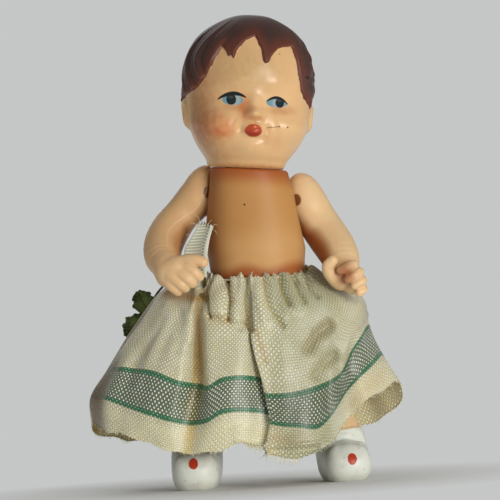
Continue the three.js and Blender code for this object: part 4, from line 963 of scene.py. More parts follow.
def make_leg(name, side, foot_x, turn_out, dot_place, dot_size, body):
    hip_x = TORSO_X + side * (HIP_INSET + THIGH_RADIUS - 0.2)

    def lean(place):
        return hip_x + (foot_x - hip_x) * place

    def boot_edge_level(points):
        return BOOT_TOP + 0.10 * side * (points[:, 0] - lean(0.87)) - 0.03 * points[:, 1]

    limb = smooth_path([
        (hip_x, HIP_Y, HIP_LEVEL + THIGH_RADIUS - 1.6, 1.6),
        (hip_x + side * 0.1, HIP_Y, HIP_LEVEL + 1.2, THIGH_RADIUS - 0.25),
        (lean(0.12), HIP_Y, HIP_LEVEL - 4, THIGH_RADIUS),
        (lean(0.36), HIP_Y - 0.2, HIP_LEVEL - 12, THIGH_RADIUS),
        (lean(0.56), HIP_Y, HIP_LEVEL - 19.5, THIGH_RADIUS - 0.5),
        (lean(0.7), HIP_Y + 0.2, HIP_LEVEL - 24, THIGH_RADIUS - 0.35),
        (lean(0.86), HIP_Y, BOOT_TOP, THIGH_RADIUS - 0.3),
        (foot_x, -0.4, 4.4, THIGH_RADIUS - 0.9),
    ], 30)
    turn = Matrix.Rotation(side * turn_out, 4, "Z")
    floor_point = np.array([foot_x, 0, 0])
    row_y, row_width, row_height = np.array(FOOT_ROWS[::-1]).T

    def foot_distance(points):
        local = into(turn, points - floor_point)
        along = np.clip(local[:, 1], TOE_BALL, HEEL_BALL)
        half = np.interp(along, row_y, row_width) * SOLE_HALF_WIDTH
        height = np.interp(along, row_y, row_height)
        rise = (local[:, 2] - height * 0.44) / (height * 0.56)
        end_reach = np.where(local[:, 1] < along, TOE_REACH + TOE_BALL, HEEL_REACH - HEEL_BALL)
        sides = [local[:, 0] / half, rise, (local[:, 1] - along) / end_reach]
        inside = sum(np.abs(gap) ** 2.3 for gap in sides) ** (1 / 2.3)
        return (inside - 1) * np.minimum(half, height / 2) * 0.9

    def distance(points):
        shaft = melt(tube_distance(points, limb), foot_distance(points), 5.6)
        lip = np.hypot(points[:, 0] - lean(0.87), points[:, 1] - HIP_Y)
        edge = boot_edge_level(points)
        return shaft - 0.28 * smoothstep(edge + 0.12, edge - 0.1, points[:, 2]) * smoothstep(0, 3, lip)

    balls = [limb]
    for y, height in FOOT_FILLING:
        for across in (-0.4, 0, 0.4):
            centre = np.asarray(turn.to_3x3()) @ np.array([across * SOLE_HALF_WIDTH, y, height * 0.45])
            balls.append([[*(centre + floor_point), height * 0.40]])
    points, faces = body_from(distance, np.concatenate(balls), LEG_MESH_STEP)
    points[:, 2] = np.maximum(points[:, 2], 0.0)
    flat_x = TORSO_X + side * HIP_INSET
    upper = points[:, 2] > HIP_LEVEL - THIGH_RADIUS - 3
    flattened = np.maximum(points[:, 0] * side, flat_x * side) * side
    points[:, 0] = np.where(upper, flattened, points[:, 0])
    piece = make_mesh(name, points, faces)
    mark(piece, "boot", boot_edge_level(points) - points[:, 2])
    mark(piece, "level", points[:, 2])
    across = (points[:, 0] - dot_place[0]) / dot_size[0]
    up = (points[:, 2] - dot_place[1]) / dot_size[1]
    mark(piece, "dot", np.where(points[:, 1] < -2, 1 - np.hypot(across, up), -1))
    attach(piece, body)
    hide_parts(body)
    return piece


paint = limb_paint("boot_and_leg_vinyl", 0.38)
boot_edge = paint.value("boot") + (paint.noise(500, 4) - 0.5) * 0.5
boot = paint.step(boot_edge, -0.06, 0.08)
paint.coat(boot, BOOT_WHITE)
grime = boot * paint.step(paint.noise(230, 6), 0.52, 0.74)
paint.coat(grime, BOOT_DIRT, 0.35)
# The boots are darker towards the sole
toward_sole = boot * paint.step(paint.value("level"), 2.4, 0.2)
paint.coat(toward_sole, BOOT_DIRT, 0.45)
scuffs = boot * paint.step(paint.noise(1100, 6), 0.64, 0.7)
paint.coat(scuffs, BOOT_SCUFF, 0.4)
dot_edge = paint.value("dot") + (paint.noise(900, 3) - 0.5) * 0.25
paint.coat(paint.step(dot_edge, 0.0, 0.12), DOT_RED)
vinyl_shine(paint, 0.2)
boot_height = paint.noise(1500, 3) * 0.4 + paint.noise(260, 3) * 0.6
boot_vinyl = paint.finish(boot_height, 0.00012, 0.6)

right_leg = make_leg("doll_right_leg", -1, -15.25, 2 * degree, (-15.85, 5.6), (1.05, 1.25), "right_leg")
left_leg = make_leg("doll_left_leg", 1, 15.5, 7 * degree, (17.4, 4.7), (1.05, 1.35), "left_leg")
for leg_piece in (right_leg, left_leg):
    leg_piece.data.materials.append(boot_vinyl)

# The skirt is one length of shiny open-weave ribbon, 38 mm wide, gathered on a thread
# at the waist. It is cream with a dark green band between two bright green lines near
# the hem, and it falls in soft folds with a pleat that laps over at the middle front.
RIBBON_WIDTH = 38.0
RIBBON_LENGTH = 180.0
LEFT_RUN = 78.0
THREAD_PITCH = 0.51
CLOTH_THICKNESS = 0.22
RIBBON_COLUMNS, RIBBON_LEVELS = 330, 120
WAIST_LEVEL = 44.6
WAIST_HALF_WIDTH = 11.3
WAIST_HALF_DEPTH = 9.9
SKIRT_PLACES = (0.0, 0.17, 0.37, 0.64, 0.83, 1.0)
FOLD_PLACES = (0.0, 0.17, 0.55, 1.0)
SKIRT_RIGHT = (12.0, 20.6, 27.0, 33.3, 36.7, 36.7)
SKIRT_LEFT = (11.3, 20.9, 22.6, 23.3, 25.9, 28.9)
SKIRT_FRONT = (9.9, 12.6, 14.2, 15.8, 16.6, 16.6)
SKIRT_BACK = (9.9, 12.0, 13.2, 14.2, 14.8, 15.0)
BACK_LEVELS = (44.6, 38.6, 31.4, 21.6, 14.8, 9.0)
# Front columns: degrees round the waist, how far the fold stands out under the waist, in
# the middle and at the hem, then x and z at each place from under the waist to the hem
RIGHT_COLUMNS = [
    (-90, 0.0, 0.0, 0.0, (-20.6, 41.8), (-27.0, 34.6), (-33.3, 25.6), (-36.7, 20.2), (-36.7, 15.2)),
    (-86, -0.6, -1.8, -1.6, (-20.2, 41.6), (-26.4, 34.5), (-32.0, 26.0), (-35.2, 20.0), (-35.3, 14.2)),
    (-80, 0.4, 1.2, 1.6, (-19.6, 41.4), (-25.2, 34.4), (-30.2, 26.5), (-33.2, 19.8), (-33.6, 13.2)),
    (-70, 0.6, 0.4, 0.6, (-18.3, 40.9), (-22.8, 33.8), (-27.3, 26.0), (-29.6, 18.3), (-30.2, 12.6)),
    (-62, 0.8, 1.1, 1.0, (-16.3, 40.2), (-19.6, 33.0), (-22.6, 25.0), (-24.8, 16.4), (-25.2, 10.6)),
    (-54, 1.0, 1.4, 0.8, (-13.8, 39.6), (-16.0, 32.4), (-18.0, 22.9), (-20.0, 14.7), (-20.4, 8.6)),
    (-48, -1.4, -2.9, -0.5, (-12.4, 39.4), (-13.4, 31.9), (-13.7, 22.0), (-15.4, 13.7), (-16.2, 7.8)),
    (-41, 0.6, 0.9, 0.2, (-11.0, 39.3), (-11.5, 31.7), (-11.5, 21.6), (-12.0, 14.3), (-13.0, 7.9)),
    (-32, 0.7, 0.9, 0.9, (-8.6, 39.1), (-9.0, 31.7), (-9.2, 22.9), (-9.7, 15.6), (-10.2, 8.1)),
    (-20, 0.5, 0.8, 0.9, (-5.4, 38.9), (-5.9, 31.6), (-6.6, 23.3), (-7.0, 16.0), (-7.2, 9.2)),
    (-11, -0.3, 0.0, 0.2, (-3.2, 38.7), (-3.5, 31.4), (-3.4, 23.2), (-3.7, 15.8), (-4.4, 9.4)),
    (-6, -1.1, -2.2, -1.0, (-1.9, 38.6), (-1.3, 31.3), (-0.6, 22.6), (-1.0, 15.4), (-2.0, 8.8)),
    (-4, -1.3, -2.7, -1.5, (-1.1, 38.6), (0.7, 31.2), (1.9, 21.2), (1.7, 14.6), (0.4, 8.2)),
]
LEFT_COLUMNS = [
    (-4, -1.3, -2.7, -1.5, (-1.1, 38.6), (0.7, 31.2), (1.9, 21.2), (1.7, 14.6), (0.4, 8.2)),
    (-2, 0.2, 0.6, 0.3, (-1.8, 38.6), (-2.1, 31.3), (-0.2, 19.4), (0.4, 13.2), (-1.2, 7.4)),
    (5, 0.9, 0.9, 0.8, (0.4, 38.5), (0.6, 31.1), (1.9, 19.1), (2.6, 12.6), (1.4, 6.4)),
    (15, 0.4, 0.9, 1.1, (4.0, 38.3), (5.2, 30.9), (6.4, 19.2), (6.6, 12.0), (6.2, 5.8)),
    (26, 0.4, -0.2, 1.2, (7.4, 38.1), (9.2, 30.6), (10.4, 20.0), (10.4, 11.5), (10.6, 7.0)),
    (36, 0.5, -0.9, -0.3, (10.3, 38.6), (12.3, 31.2), (13.4, 21.0), (13.4, 13.7), (14.0, 9.3)),
    (48, 0.7, 0.5, -0.6, (13.0, 39.2), (15.2, 32.6), (16.4, 23.0), (16.8, 18.4), (17.4, 13.5)),
    (60, 0.4, 1.0, 0.7, (15.7, 39.2), (18.4, 33.8), (18.8, 27.6), (20.0, 21.6), (21.2, 16.8)),
    (72, 0.3, 0.5, 0.4, (18.3, 38.7), (20.8, 34.6), (21.0, 30.6), (22.8, 23.8), (24.9, 18.7)),
    (82, 0.0, 0.0, 0.0, (20.8, 38.1), (22.6, 35.0), (23.3, 31.6), (25.9, 25.4), (28.9, 19.6)),
]
BACK_TURNS = (98, 112, 127, 143, 160, 180, 199, 216, 232, 247, 260)
BACK_FOLDS = (0.6, -0.8, 1.1, -1.0, 0.8, -0.9, 1.2, -1.0, 0.9, -0.8, 0.6)
# Gathers at the thread round the sides and back: degrees, half width, height, how far down
GATHERS = [
    (-150, 10, 0.9, 0.22), (-128, 9, 1.0, 0.25), (-106, 10, 0.9, 0.22), (-84, 8, 0.9, 0.20),
    (86, 8, 0.9, 0.22), (108, 10, 1.0, 0.24), (130, 9, 0.9, 0.22), (152, 9, 1.0, 0.25),
    (176, 10, 0.9, 0.22),
]
# Creases and ridges of the front: how far they stand out, half width, then x and z along them
CREASES = [
    (-1.5, 0.55, (-11.8, 45.0), (-11.5, 40.5), (-11.3, 36.6)),
    (-1.6, 0.55, (-6.6, 45.0), (-6.3, 39.6), (-6.9, 35.9)),
    (-1.3, 0.45, (-2.4, 45.0), (-2.5, 38.0), (-2.2, 33.0)),
    (-1.1, 0.5, (0.9, 45.0), (1.3, 41.5), (2.4, 37.4), (4.6, 33.4)),
    (-1.2, 0.55, (4.4, 45.0), (4.9, 41.3), (6.1, 38.0)),
    (-1.1, 0.55, (7.5, 45.0), (8.1, 41.0), (9.3, 38.4)),
    (-1.0, 0.6, (9.8, 45.0), (10.8, 41.5), (12.3, 39.4)),
    (-1.0, 0.7, (-11.0, 36.4), (-8.4, 35.4), (-6.9, 35.4)),
    (-0.9, 0.7, (-6.4, 34.6), (-4.4, 33.6), (-3.0, 34.4)),
    (-1.1, 1.0, (14.4, 32.9), (11.8, 31.4), (9.8, 28.6)),
    (-1.0, 1.0, (15.0, 26.6), (12.6, 24.9), (11.1, 22.7)),
    (-0.5, 1.1, (-17.8, 39.6), (-16.7, 35.4), (-17.9, 29.9)),
    (0.6, 1.0, (21.0, 38.0), (19.9, 32.3), (18.6, 27.0), (17.8, 23.5)),
    (0.5, 1.8, (-18.6, 40.5), (-21.4, 33.4), (-23.6, 27.1)),
    (0.7, 0.7, (-12.4, 44.7), (-13.7, 39.3), (-15.3, 31.2)),
    (0.7, 1.6, (-9.2, 44.0), (-8.7, 40.9), (-8.9, 37.9)),
    (0.7, 1.5, (-4.5, 43.6), (-4.3, 39.2), (-5.0, 35.8)),
    (0.5, 0.9, (-0.7, 43.8), (-0.4, 39.0), (0.7, 34.4)),
    (0.5, 0.9, (2.7, 43.6), (3.6, 40.2), (5.6, 36.2)),
    (0.5, 1.0, (6.1, 43.8), (7.0, 40.0), (8.0, 37.0)),
    (0.3, 1.2, (14.6, 30.6), (13.0, 28.0), (12.0, 26.0)),
    (0.5, 0.35, (-6.6, 9.9), (-5.6, 9.5), (-0.8, 8.6), (6.1, 8.4), (10.3, 8.7), (12.0, 9.2)),
    (-0.9, 0.7, (-5.4, 8.5), (-0.8, 7.5), (6.1, 7.2), (10.3, 7.6)),
]
# Places of the front darkened with painted shade: how strong, half width, then x and z along them
SKIRT_SHADE_PLACES = [
    (0.50, 1.2, (-13.4, 40.0), (-13.2, 30.5), (-13.3, 24.5)),
    (1.0, 1.3, (-19.5, 41.8), (-16.0, 40.9), (-13.4, 40.2)),
    (0.38, 1.9, (14.1, 33.1), (11.6, 31.2), (9.6, 28.6)), (0.20, 1.7, (14.2, 26.0), (10.7, 23.9)),
    (0.35, 1.6, (1.5, 10.0), (7.0, 10.0)), (0.35, 0.8, (-6.9, 35.4), (-11.0, 36.4)),
    (0.5, 0.6, (-1.2, 33.0), (0.6, 26.0)), (0.25, 2.0, (17.0, 15.5), (24.0, 21.5)),
]


def away_from(path, x, z):
    """Distance from a broken line through points (x, z)."""
    nearest = np.full(x.shape, 1e9)
    for (ax, az), (bx, bz) in zip(path[:-1], path[1:]):
        run_x, run_z = bx - ax, bz - az
        along = np.clip(((x - ax) * run_x + (z - az) * run_z) / (run_x**2 + run_z**2), 0, 1)
        nearest = np.minimum(nearest, np.hypot(x - ax - along * run_x, z - az - along * run_z))
    return nearest


def skirt_front_rows(column):
    """Points down one front column, from the waist to the hem."""
    turn, under_waist, middle, hem, *places = column
    waist_x = TORSO_X + math.sin(turn * degree) * WAIST_HALF_WIDTH
    waist_y = -math.cos(turn * degree) * WAIST_HALF_DEPTH
    rows = [(waist_x, waist_y, WAIST_LEVEL)]
    for index, (x, z) in enumerate(places, start=1):
        side = SKIRT_LEFT[index] if x > TORSO_X else SKIRT_RIGHT[index]
        lean = min(1.0, abs(x - TORSO_X * (1 - abs(x) / side)) / side)
        depth = SKIRT_FRONT[index] * math.sqrt(1 - lean**2)
        fold = np.interp(SKIRT_PLACES[index], FOLD_PLACES, (0, under_waist, middle, hem))
        rows.append((x, -depth - fold, z))
    return rows


def skirt_back_rows(turn, fold):
    """Points down one back column, from the waist to the hem."""
    across, along = math.sin(turn * degree), -math.cos(turn * degree)
    side_column = (LEFT_COLUMNS[-1] if across > 0 else RIGHT_COLUMNS[0])[4:]
    rows = [(TORSO_X + across * WAIST_HALF_WIDTH, along * WAIST_HALF_DEPTH, WAIST_LEVEL)]
    for index in range(1, len(SKIRT_PLACES)):
        side = SKIRT_LEFT[index] if across > 0 else SKIRT_RIGHT[index]
        share = abs(along)**0.6
        swell = fold * SKIRT_PLACES[index]
        z = side_column[index - 1][1] * (1 - share) + BACK_LEVELS[index] * share
        rows.append((across * (side + swell * 0.6), along * (SKIRT_BACK[index] + swell), z))
    return rows


def fine_curve(places, values, at):
    """A smooth curve through values at the given places, along the first axis."""
    values = np.asarray(values, float)
    places = np.asarray(places, float)
    slopes = np.gradient(values, places, axis=0)
    index = np.clip(np.searchsorted(places, at, side="right") - 1, 0, len(places) - 2)
    span = places[index + 1] - places[index]
    t = (at - places[index]) / span
    shape = (-1,) + (1,) * (values.ndim - 1)
    t, span = t.reshape(shape), span.reshape(shape)
    return ((2 * t**3 - 3 * t**2 + 1) * values[index] + (t**3 - 2 * t**2 + t) * span * slopes[index]
            + (3 * t**2 - 2 * t**3) * values[index + 1] + (t**3 - t**2) * span * slopes[index + 1])


def soften(grid, reach):
    """Each point of a grid moved to the middle of its neighbours within the given reach."""
    for axis in (0, 1):
        for _ in range(3):
            padded = np.concatenate([np.repeat(np.take(grid, [0], axis), reach, axis), grid,
                                     np.repeat(np.take(grid, [-1], axis), reach, axis)], axis)
            total = np.cumsum(np.insert(padded, 0, 0, axis), axis)
            size = grid.shape[axis]
            grid = (np.take(total, range(2 * reach + 1, 2 * reach + 1 + size), axis)
                    - np.take(total, range(size), axis)) / (2 * reach + 1)
    return grid


def grid_normals(grid):
    along, down = np.gradient(grid, axis=1), np.gradient(grid, axis=0)
    normal = np.cross(along, down)
    return normal / np.maximum(np.linalg.norm(normal, axis=2, keepdims=True), 1e-9)


def skirt_half(name, columns, back_turns, back_folds, first, last):
    """One half of the skirt with its loose ends. It runs along the ribbon from first to last."""
    front_rows = [skirt_front_rows(column) for column in columns]
    back_rows = [skirt_back_rows(turn, fold) for turn, fold in zip(back_turns, back_folds)]
    front_turns = [column[0] for column in columns]
    if front_turns[0] == -90:
        table, turns = np.array(back_rows + front_rows), [*back_turns, *front_turns]
    else:
        table, turns = np.array(front_rows + back_rows), [*front_turns, *back_turns]
    # Columns are spaced by their run along the band, so that the weave keeps its pitch
    band = table[:, 3:5].mean(axis=1)
    run = np.concatenate([[0], np.cumsum(np.linalg.norm(np.diff(band, axis=0), axis=1))])
    v = np.linspace(0, 1, RIBBON_LEVELS)[:, None]
    u = np.linspace(0, 1, RIBBON_COLUMNS)
    grid = fine_curve(SKIRT_PLACES, np.moveaxis(table, 0, 1), v[:, 0])
    grid = np.moveaxis(fine_curve(run / run[-1], np.moveaxis(grid, 0, 1), u), 0, 1)
    normal = grid_normals(grid)
    outward = np.sign((normal * (grid - [TORSO_X, 0, 0]) * [1, 1, 0]).sum(axis=2, keepdims=True).mean())
    normal = normal * outward
    run_mm = np.linspace(first, last, RIBBON_COLUMNS)[None, :]
    turn_at = np.interp(u, run / run[-1], turns)[None, :]
    # Tight gathers at the thread, that open out into soft folds below it
    pinch = 1 - 0.5 * bump(v - 0.075, 0.03)
    lift = -0.35 * smoothstep(0.35, 0.15, v) * pinch * np.ones((RIBBON_LEVELS, RIBBON_COLUMNS))
    for turn, width, height, reach in GATHERS:
        apart = np.abs((turn_at - turn + 180) % 360 - 180)
        lift += height * bump(apart, width) * smoothstep(reach + 0.1, reach - 0.1, v) * pinch
    front = smoothstep(2.0, -2.0, grid[:, :, 1])
    for rise, width, *path in CREASES:
        lift += rise * front * bump(away_from(path, grid[:, :, 0], grid[:, :, 2]), width)
    drift = 0.9 * np.sin(run_mm * 0.21) + 0.6 * np.sin(run_mm * 0.47 + 1.0)
    lift += 0.22 * np.cos(run_mm * 2 * math.pi / 3.4 + 2 * drift) * smoothstep(0.16, 0.05, v)
    lift += 0.30 * np.sin(run_mm * 0.33 + 4 * v + 0.7) * smoothstep(0.2, 0.6, v)
    ripple = np.sin(run_mm * 0.9 + 9 * v + 2 * np.sin(run_mm * 0.13))
    lift += 0.14 * ripple * smoothstep(0.15, 0.4, v) * smoothstep(1.0, 0.6, v)
    lift += 0.20 * np.sin(run_mm * 0.62 + 2.0) * smoothstep(0.82, 1.0, v)
    # The ruffle above the thread flares a little
    flare = smoothstep(0.075, 0.0, v)
    grid = grid + normal * (lift + 0.5 * flare)[:, :, None]
    # The cut edge at the top is uneven and sags at the middle front
    sag = 0.45 * smoothstep(0, -9, grid[:, :, 1]) * smoothstep(0.2, 0.0, v)
    uneven = (0.40 * np.sin(run_mm * 0.9 + drift) + 0.22 * np.sin(run_mm * 1.7)
              + 0.06 * np.sin(run_mm * 5.3))
    grid[:, :, 2] += flare * uneven - sag
    scallop = 0.06 * np.cos(run_mm * 2 * math.pi / (2 * THREAD_PITCH)) + 0.18 * np.sin(run_mm * 0.8)
    grid[:, :, 2] -= smoothstep(0.975, 1.0, v) * scallop
    normal = grid_normals(grid) * outward
    inner = grid - normal * CLOTH_THICKNESS
    # How far each place lies back from the cloth round it, for the golden painted shade in the hollows,
    # less where the photograph shows it bright
    hollow = np.clip(((soften(grid, 9) - grid) * normal).sum(axis=2) / 0.8, -1, 1)
    hollow *= 1 - 0.7 * front * smoothstep(7, 10, grid[:, :, 0])
    hollow *= 1 - 0.8 * front * smoothstep(11, 9.5, grid[:, :, 2]) * smoothstep(-9, -5, grid[:, :, 0])
    shade_depth = np.zeros((RIBBON_LEVELS, RIBBON_COLUMNS))
    for strength, width, *path in SKIRT_SHADE_PLACES:
        place = strength * front * bump(away_from(path, grid[:, :, 0], grid[:, :, 2]), width)
        shade_depth = np.maximum(shade_depth, place)
    # A grey painted shade over the doll's left front
    left_front_shade = front * smoothstep(0.0, 5.0, grid[:, :, 0]) * smoothstep(20.0, 14.0, grid[:, :, 0])
    # The outer and the inner side of the cloth are joined all round the edge
    count = RIBBON_COLUMNS * RIBBON_LEVELS
    faces = grid_faces(RIBBON_COLUMNS, RIBBON_LEVELS, False)
    order = np.arange(count).reshape(RIBBON_LEVELS, RIBBON_COLUMNS)
    rim = [*order[0], *order[1:, -1], *order[-1, -2::-1], *order[-2:0:-1, 0]]
    sides = [(a, b, b + count, a + count) for a, b in zip(rim, rim[1:] + rim[:1])]
    inside = [tuple(index + count for index in reversed(face)) for face in faces]
    both_sides = np.concatenate([grid.reshape(-1, 3), inner.reshape(-1, 3)])
    piece = make_mesh(name, both_sides, [*map(tuple, faces), *inside, *sides])

    def both(values):
        return np.tile(np.broadcast_to(values, grid.shape[:2]).reshape(-1), 2)

    mark(piece, "ribbon_along", both(run_mm))
    mark(piece, "ribbon_across", both(v * RIBBON_WIDTH))
    mark(piece, "ribbon_hollow", both(hollow) * np.repeat([1, -1], count))
    mark(piece, "ribbon_inside", np.repeat([0, 1], count))
    # The edge at the doll's right, and the cloth that turns back beyond it, are soiled and in painted
    # shade
    at_edge = smoothstep(-125, -100, turn_at)
    turned = smoothstep(-80.5, -84.5, turn_at) * at_edge * smoothstep(0.5, 0.62, v)
    margin = smoothstep(-84.2, -86.2, turn_at) * at_edge * smoothstep(0.72, 0.6, v)
    mark(piece, "ribbon_shade", both(np.maximum(turned, 0.8 * margin)))
    mark(piece, "ribbon_turned", both(turned))
    mark(piece, "ribbon_painted_shade", both(shade_depth))
    mark(piece, "ribbon_left_front_shade", both(left_front_shade))
    return piece, loose_ends(name + "_frays", grid, normal)


FRAY_RADIUS = 0.07
FRAY_RINGS, FRAY_SIDES = 5, 3


def loose_ends(name, grid, normal):
    """Short ends of thread that stand out of the ribbon's cut edges, at the hem and at the waist."""
    draw = np.random.default_rng(len(name))
    points, faces = [], []
    hem = grid.shape[0] - 1
    columns = np.arange(2, grid.shape[1] - 2)
    cut_end = columns[(np.abs(grid[hem, columns, 0] - 0.5) < 5.5) & (grid[hem, columns, 1] < 0)]
    # which edge, the columns there, how many ends, and the longest
    groups = ((hem, columns, 150, 0.85), (hem, cut_end, 60, 1.8), (0, columns, 70, 0.6))
    for edge, choice, count, longest in groups:
        away = 1 if edge else -1
        for column in draw.choice(choice, count):
            root = grid[edge, column] - normal[edge, column] * CLOTH_THICKNESS / 2
            down_edge = grid[edge, column] - grid[edge - away, column]
            down_edge /= np.linalg.norm(down_edge)
            side_edge = grid[edge, column + 1] - grid[edge, column]
            side_edge /= np.linalg.norm(side_edge)
            length = longest * draw.uniform(0.3, 1.0)
            drift, curl = draw.uniform(-0.8, 0.8), draw.uniform(-0.5, 0.5)
            start = len(points)
            for step in range(FRAY_RINGS):
                share = step / (FRAY_RINGS - 1)
                centre = root + down_edge * length * (share - 0.1) + side_edge * length * drift * share**2
                centre = centre + normal[edge, column] * length * curl * share**2
                reach = FRAY_RADIUS * (1 - 0.6 * share)
                for corner in range(FRAY_SIDES):
                    angle = corner * 2 * math.pi / FRAY_SIDES
                    across, out = math.cos(angle) * reach, math.sin(angle) * reach
                    points.append(centre + side_edge * across + normal[edge, column] * out)
            faces.extend((start + grid_faces(FRAY_SIDES, FRAY_RINGS, True)).tolist())
            last = start + FRAY_SIDES * (FRAY_RINGS - 1)
            faces.append((start + 2, start + 1, start))
            faces.append((last, last + 1, last + 2))
    return make_mesh(name, np.array(points), faces)


CREAM_BRIGHT = (1.0, 0.99, 0.86)
CREAM_MIDDLE = (0.58, 0.54, 0.30)
CREAM_DEEP = (0.44, 0.36, 0.16)
BAND_DARK = (0.040, 0.060, 0.030)
BAND_THREAD = (0.12, 0.17, 0.09)
LINE_GREEN = (0.005, 0.180, 0.065)
HEM_CREAM = (1.0, 0.92, 0.58)
TURNED_SOIL_AND_SHADE = (0.44, 0.38, 0.20)
GOLDEN_PAINTED_SHADE = (0.92, 0.76, 0.48)
BROWN_PAINTED_SHADE = (0.62, 0.40, 0.18)
GREY_PAINTED_SHADE = (0.71, 0.74, 0.70)
EDGE_PAINTED_SHADE = (0.42, 0.34, 0.24)
BAND_TOP, BAND_BOTTOM = 24.0, 31.5
LINE_WIDTH = 0.95

paint = Paint("open_weave_ribbon", CREAM_MIDDLE, 0.42)
run, across = paint.value("ribbon_along"), paint.value("ribbon_across")
uneven = (paint.noise(260, 2) - 0.5) * 0.5
wave_run = paint.math("SINE", (run + uneven) * (math.pi / THREAD_PITCH))
wave_across = paint.math("SINE", across * (math.pi / THREAD_PITCH))
over = wave_run * wave_across
dome = abs(over)
fibre = paint.noise(2600, 3)
patch = paint.noise(380, 3)
# The threads along the ribbon change colour across it, and the cross threads are cream
in_band = (paint.step(across, BAND_TOP - 0.15, BAND_TOP + 0.15)
           * paint.step(across, BAND_BOTTOM + 0.15, BAND_BOTTOM - 0.15))
upper_line, lower_line = [
    paint.step(abs(across - middle), LINE_WIDTH / 2 + 0.1, LINE_WIDTH / 2 - 0.1)
    for middle in (BAND_TOP + LINE_WIDTH / 2, BAND_BOTTOM - LINE_WIDTH / 2)]
lines = paint.math("MAXIMUM", upper_line, lower_line)
paint.coat(in_band, BAND_THREAD)
paint.coat(lines, LINE_GREEN)
gap_colour = paint.mix(in_band, CREAM_DEEP, BAND_DARK, data_type="RGBA")
paint.coat(paint.step(dome, 0.28, 0.02), gap_colour, 0.65)
# Each cross thread shows as a bright bead where it passes over
bead = paint.step(over - (in_band * 0.26 + lines * 0.2), -0.02, 0.28)
bead_strength = 1.0 - paint.step(patch, 0.38, 0.66) * 0.35 - lines * 0.55
paint.coat(bead * bead_strength, CREAM_BRIGHT)
# The hollows and the inside take a golden painted shade, for the light that comes through more cloth
hollow = paint.step(paint.value("ribbon_hollow"), 0.15, 1.0)
hem_tone = paint.step(across, BAND_BOTTOM + 0.3, BAND_BOTTOM + 2.0) * (1 - paint.value("ribbon_left_front_shade"))
paint.coat(hem_tone, HEM_CREAM, 0.35)
golden_shade = paint.math("MAXIMUM", hollow, paint.value("ribbon_inside") * 0.25)
# The cloth that turns back at the doll's right is browned, with soil and painted shade
paint.coat(paint.value("ribbon_turned"), TURNED_SOIL_AND_SHADE, 0.7)
# Painted shade is multiplied in: golden in the hollows, brown at the creases and under the hand, grey
# over the doll's left front, and dark at the right edge
for depth, tone in (
    (golden_shade, GOLDEN_PAINTED_SHADE), (paint.value("ribbon_painted_shade"), BROWN_PAINTED_SHADE),
    (paint.value("ribbon_left_front_shade"), GREY_PAINTED_SHADE), (paint.value("ribbon_shade"), EDGE_PAINTED_SHADE),
):
    paint.colour = paint.mix(depth, paint.colour, tone, data_type="RGBA", blend_type="MULTIPLY")
paint.shader.inputs["Specular IOR Level"].default_value = 0.6
paint.shader.inputs["Sheen Weight"].default_value = 0.12
paint.shader.inputs["Coat Weight"].default_value = 0.45
paint.shader.inputs["Coat Roughness"].default_value = 0.36
paint.shader.inputs["Subsurface Weight"].default_value = 0.35
paint.shader.inputs["Subsurface Radius"].default_value = (1.0, 0.8, 0.45)
paint.shader.inputs["Subsurface Scale"].default_value = 0.0006
ribbon_weave = paint.finish(dome ** 0.6 * 0.65 + over * 0.4 + fibre * 0.15, 0.00020, 1.0)

right_skirt, right_frays = skirt_half(
    "doll_skirt_right", RIGHT_COLUMNS, BACK_TURNS[5:], BACK_FOLDS[5:], LEFT_RUN, RIBBON_LENGTH)
left_skirt, left_frays = skirt_half(
    "doll_skirt_left", LEFT_COLUMNS, BACK_TURNS[:6], BACK_FOLDS[:6], 0.0, LEFT_RUN)
# Each half and its loose ends get their finishes and are fixed in place in the frame, and the skirt's own
# solid is hidden
END_CREAM = (0.95, 0.91, 0.70)
END_GOLD = (0.80, 0.70, 0.40)
paint = Paint("ribbon_thread_ends", END_CREAM, 0.5)
paint.coat(paint.step(paint.noise(900, 2), 0.35, 0.7), END_GOLD, 0.7)
thread_ends = paint.finish(paint.noise(4000, 2), 0.00002, 0.5)
for half, frays, length, side, leg in (
    (right_skirt, right_frays, RIBBON_LENGTH - LEFT_RUN, 1, "right_leg"),
    (left_skirt, left_frays, LEFT_RUN, -1, "left_leg"),
):
    half.data.materials.append(ribbon_weave)
    frays.data.materials.append(thread_ends)
    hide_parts("skirt")
    for cloth in (half, frays):
        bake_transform(cloth)

# A torn end of ribbed ribbon stands up beside the torso: cross ribs, with a green and
# white woven edge, and a frayed top. Its lower end is caught in the skirt's gathers.
STRAP_LEVELS, STRAP_COLUMNS = 60, 26
STRAP_RIB_PITCH = 0.62
STRAP_THICKNESS = 0.25
STRAP_WHITE = (0.62, 0.62, 0.50)
STRAP_GROOVE_SHADE = (0.30, 0.30, 0.20)
STRAP_EDGE = (0.80, 0.80, 0.68)
STRAP_GREEN = (0.16, 0.28, 0.12)
STRAP_OUTLINE = [
    # share up the strap, left edge x, right edge x, z at left, z at right
    (0.00, -15.0, -10.8, 44.6, 44.4),
    (0.30, -15.2, -10.6, 48.6, 47.6),
    (0.52, -15.0, -10.2, 50.8, 50.4),
    (0.70, -13.9, -9.8, 52.4, 52.2),
    (0.86, -12.6, -9.3, 54.4, 53.8),
    (1.00, -11.8, -8.9, 56.0, 55.0),
]


def thicken(sheet, thickness):
    """Gives a sheet its thickness, half of it to either side."""
    thickening = sheet.modifiers.new("thickness", "SOLIDIFY")
    thickening.thickness = thickness * MM
    thickening.offset = 0


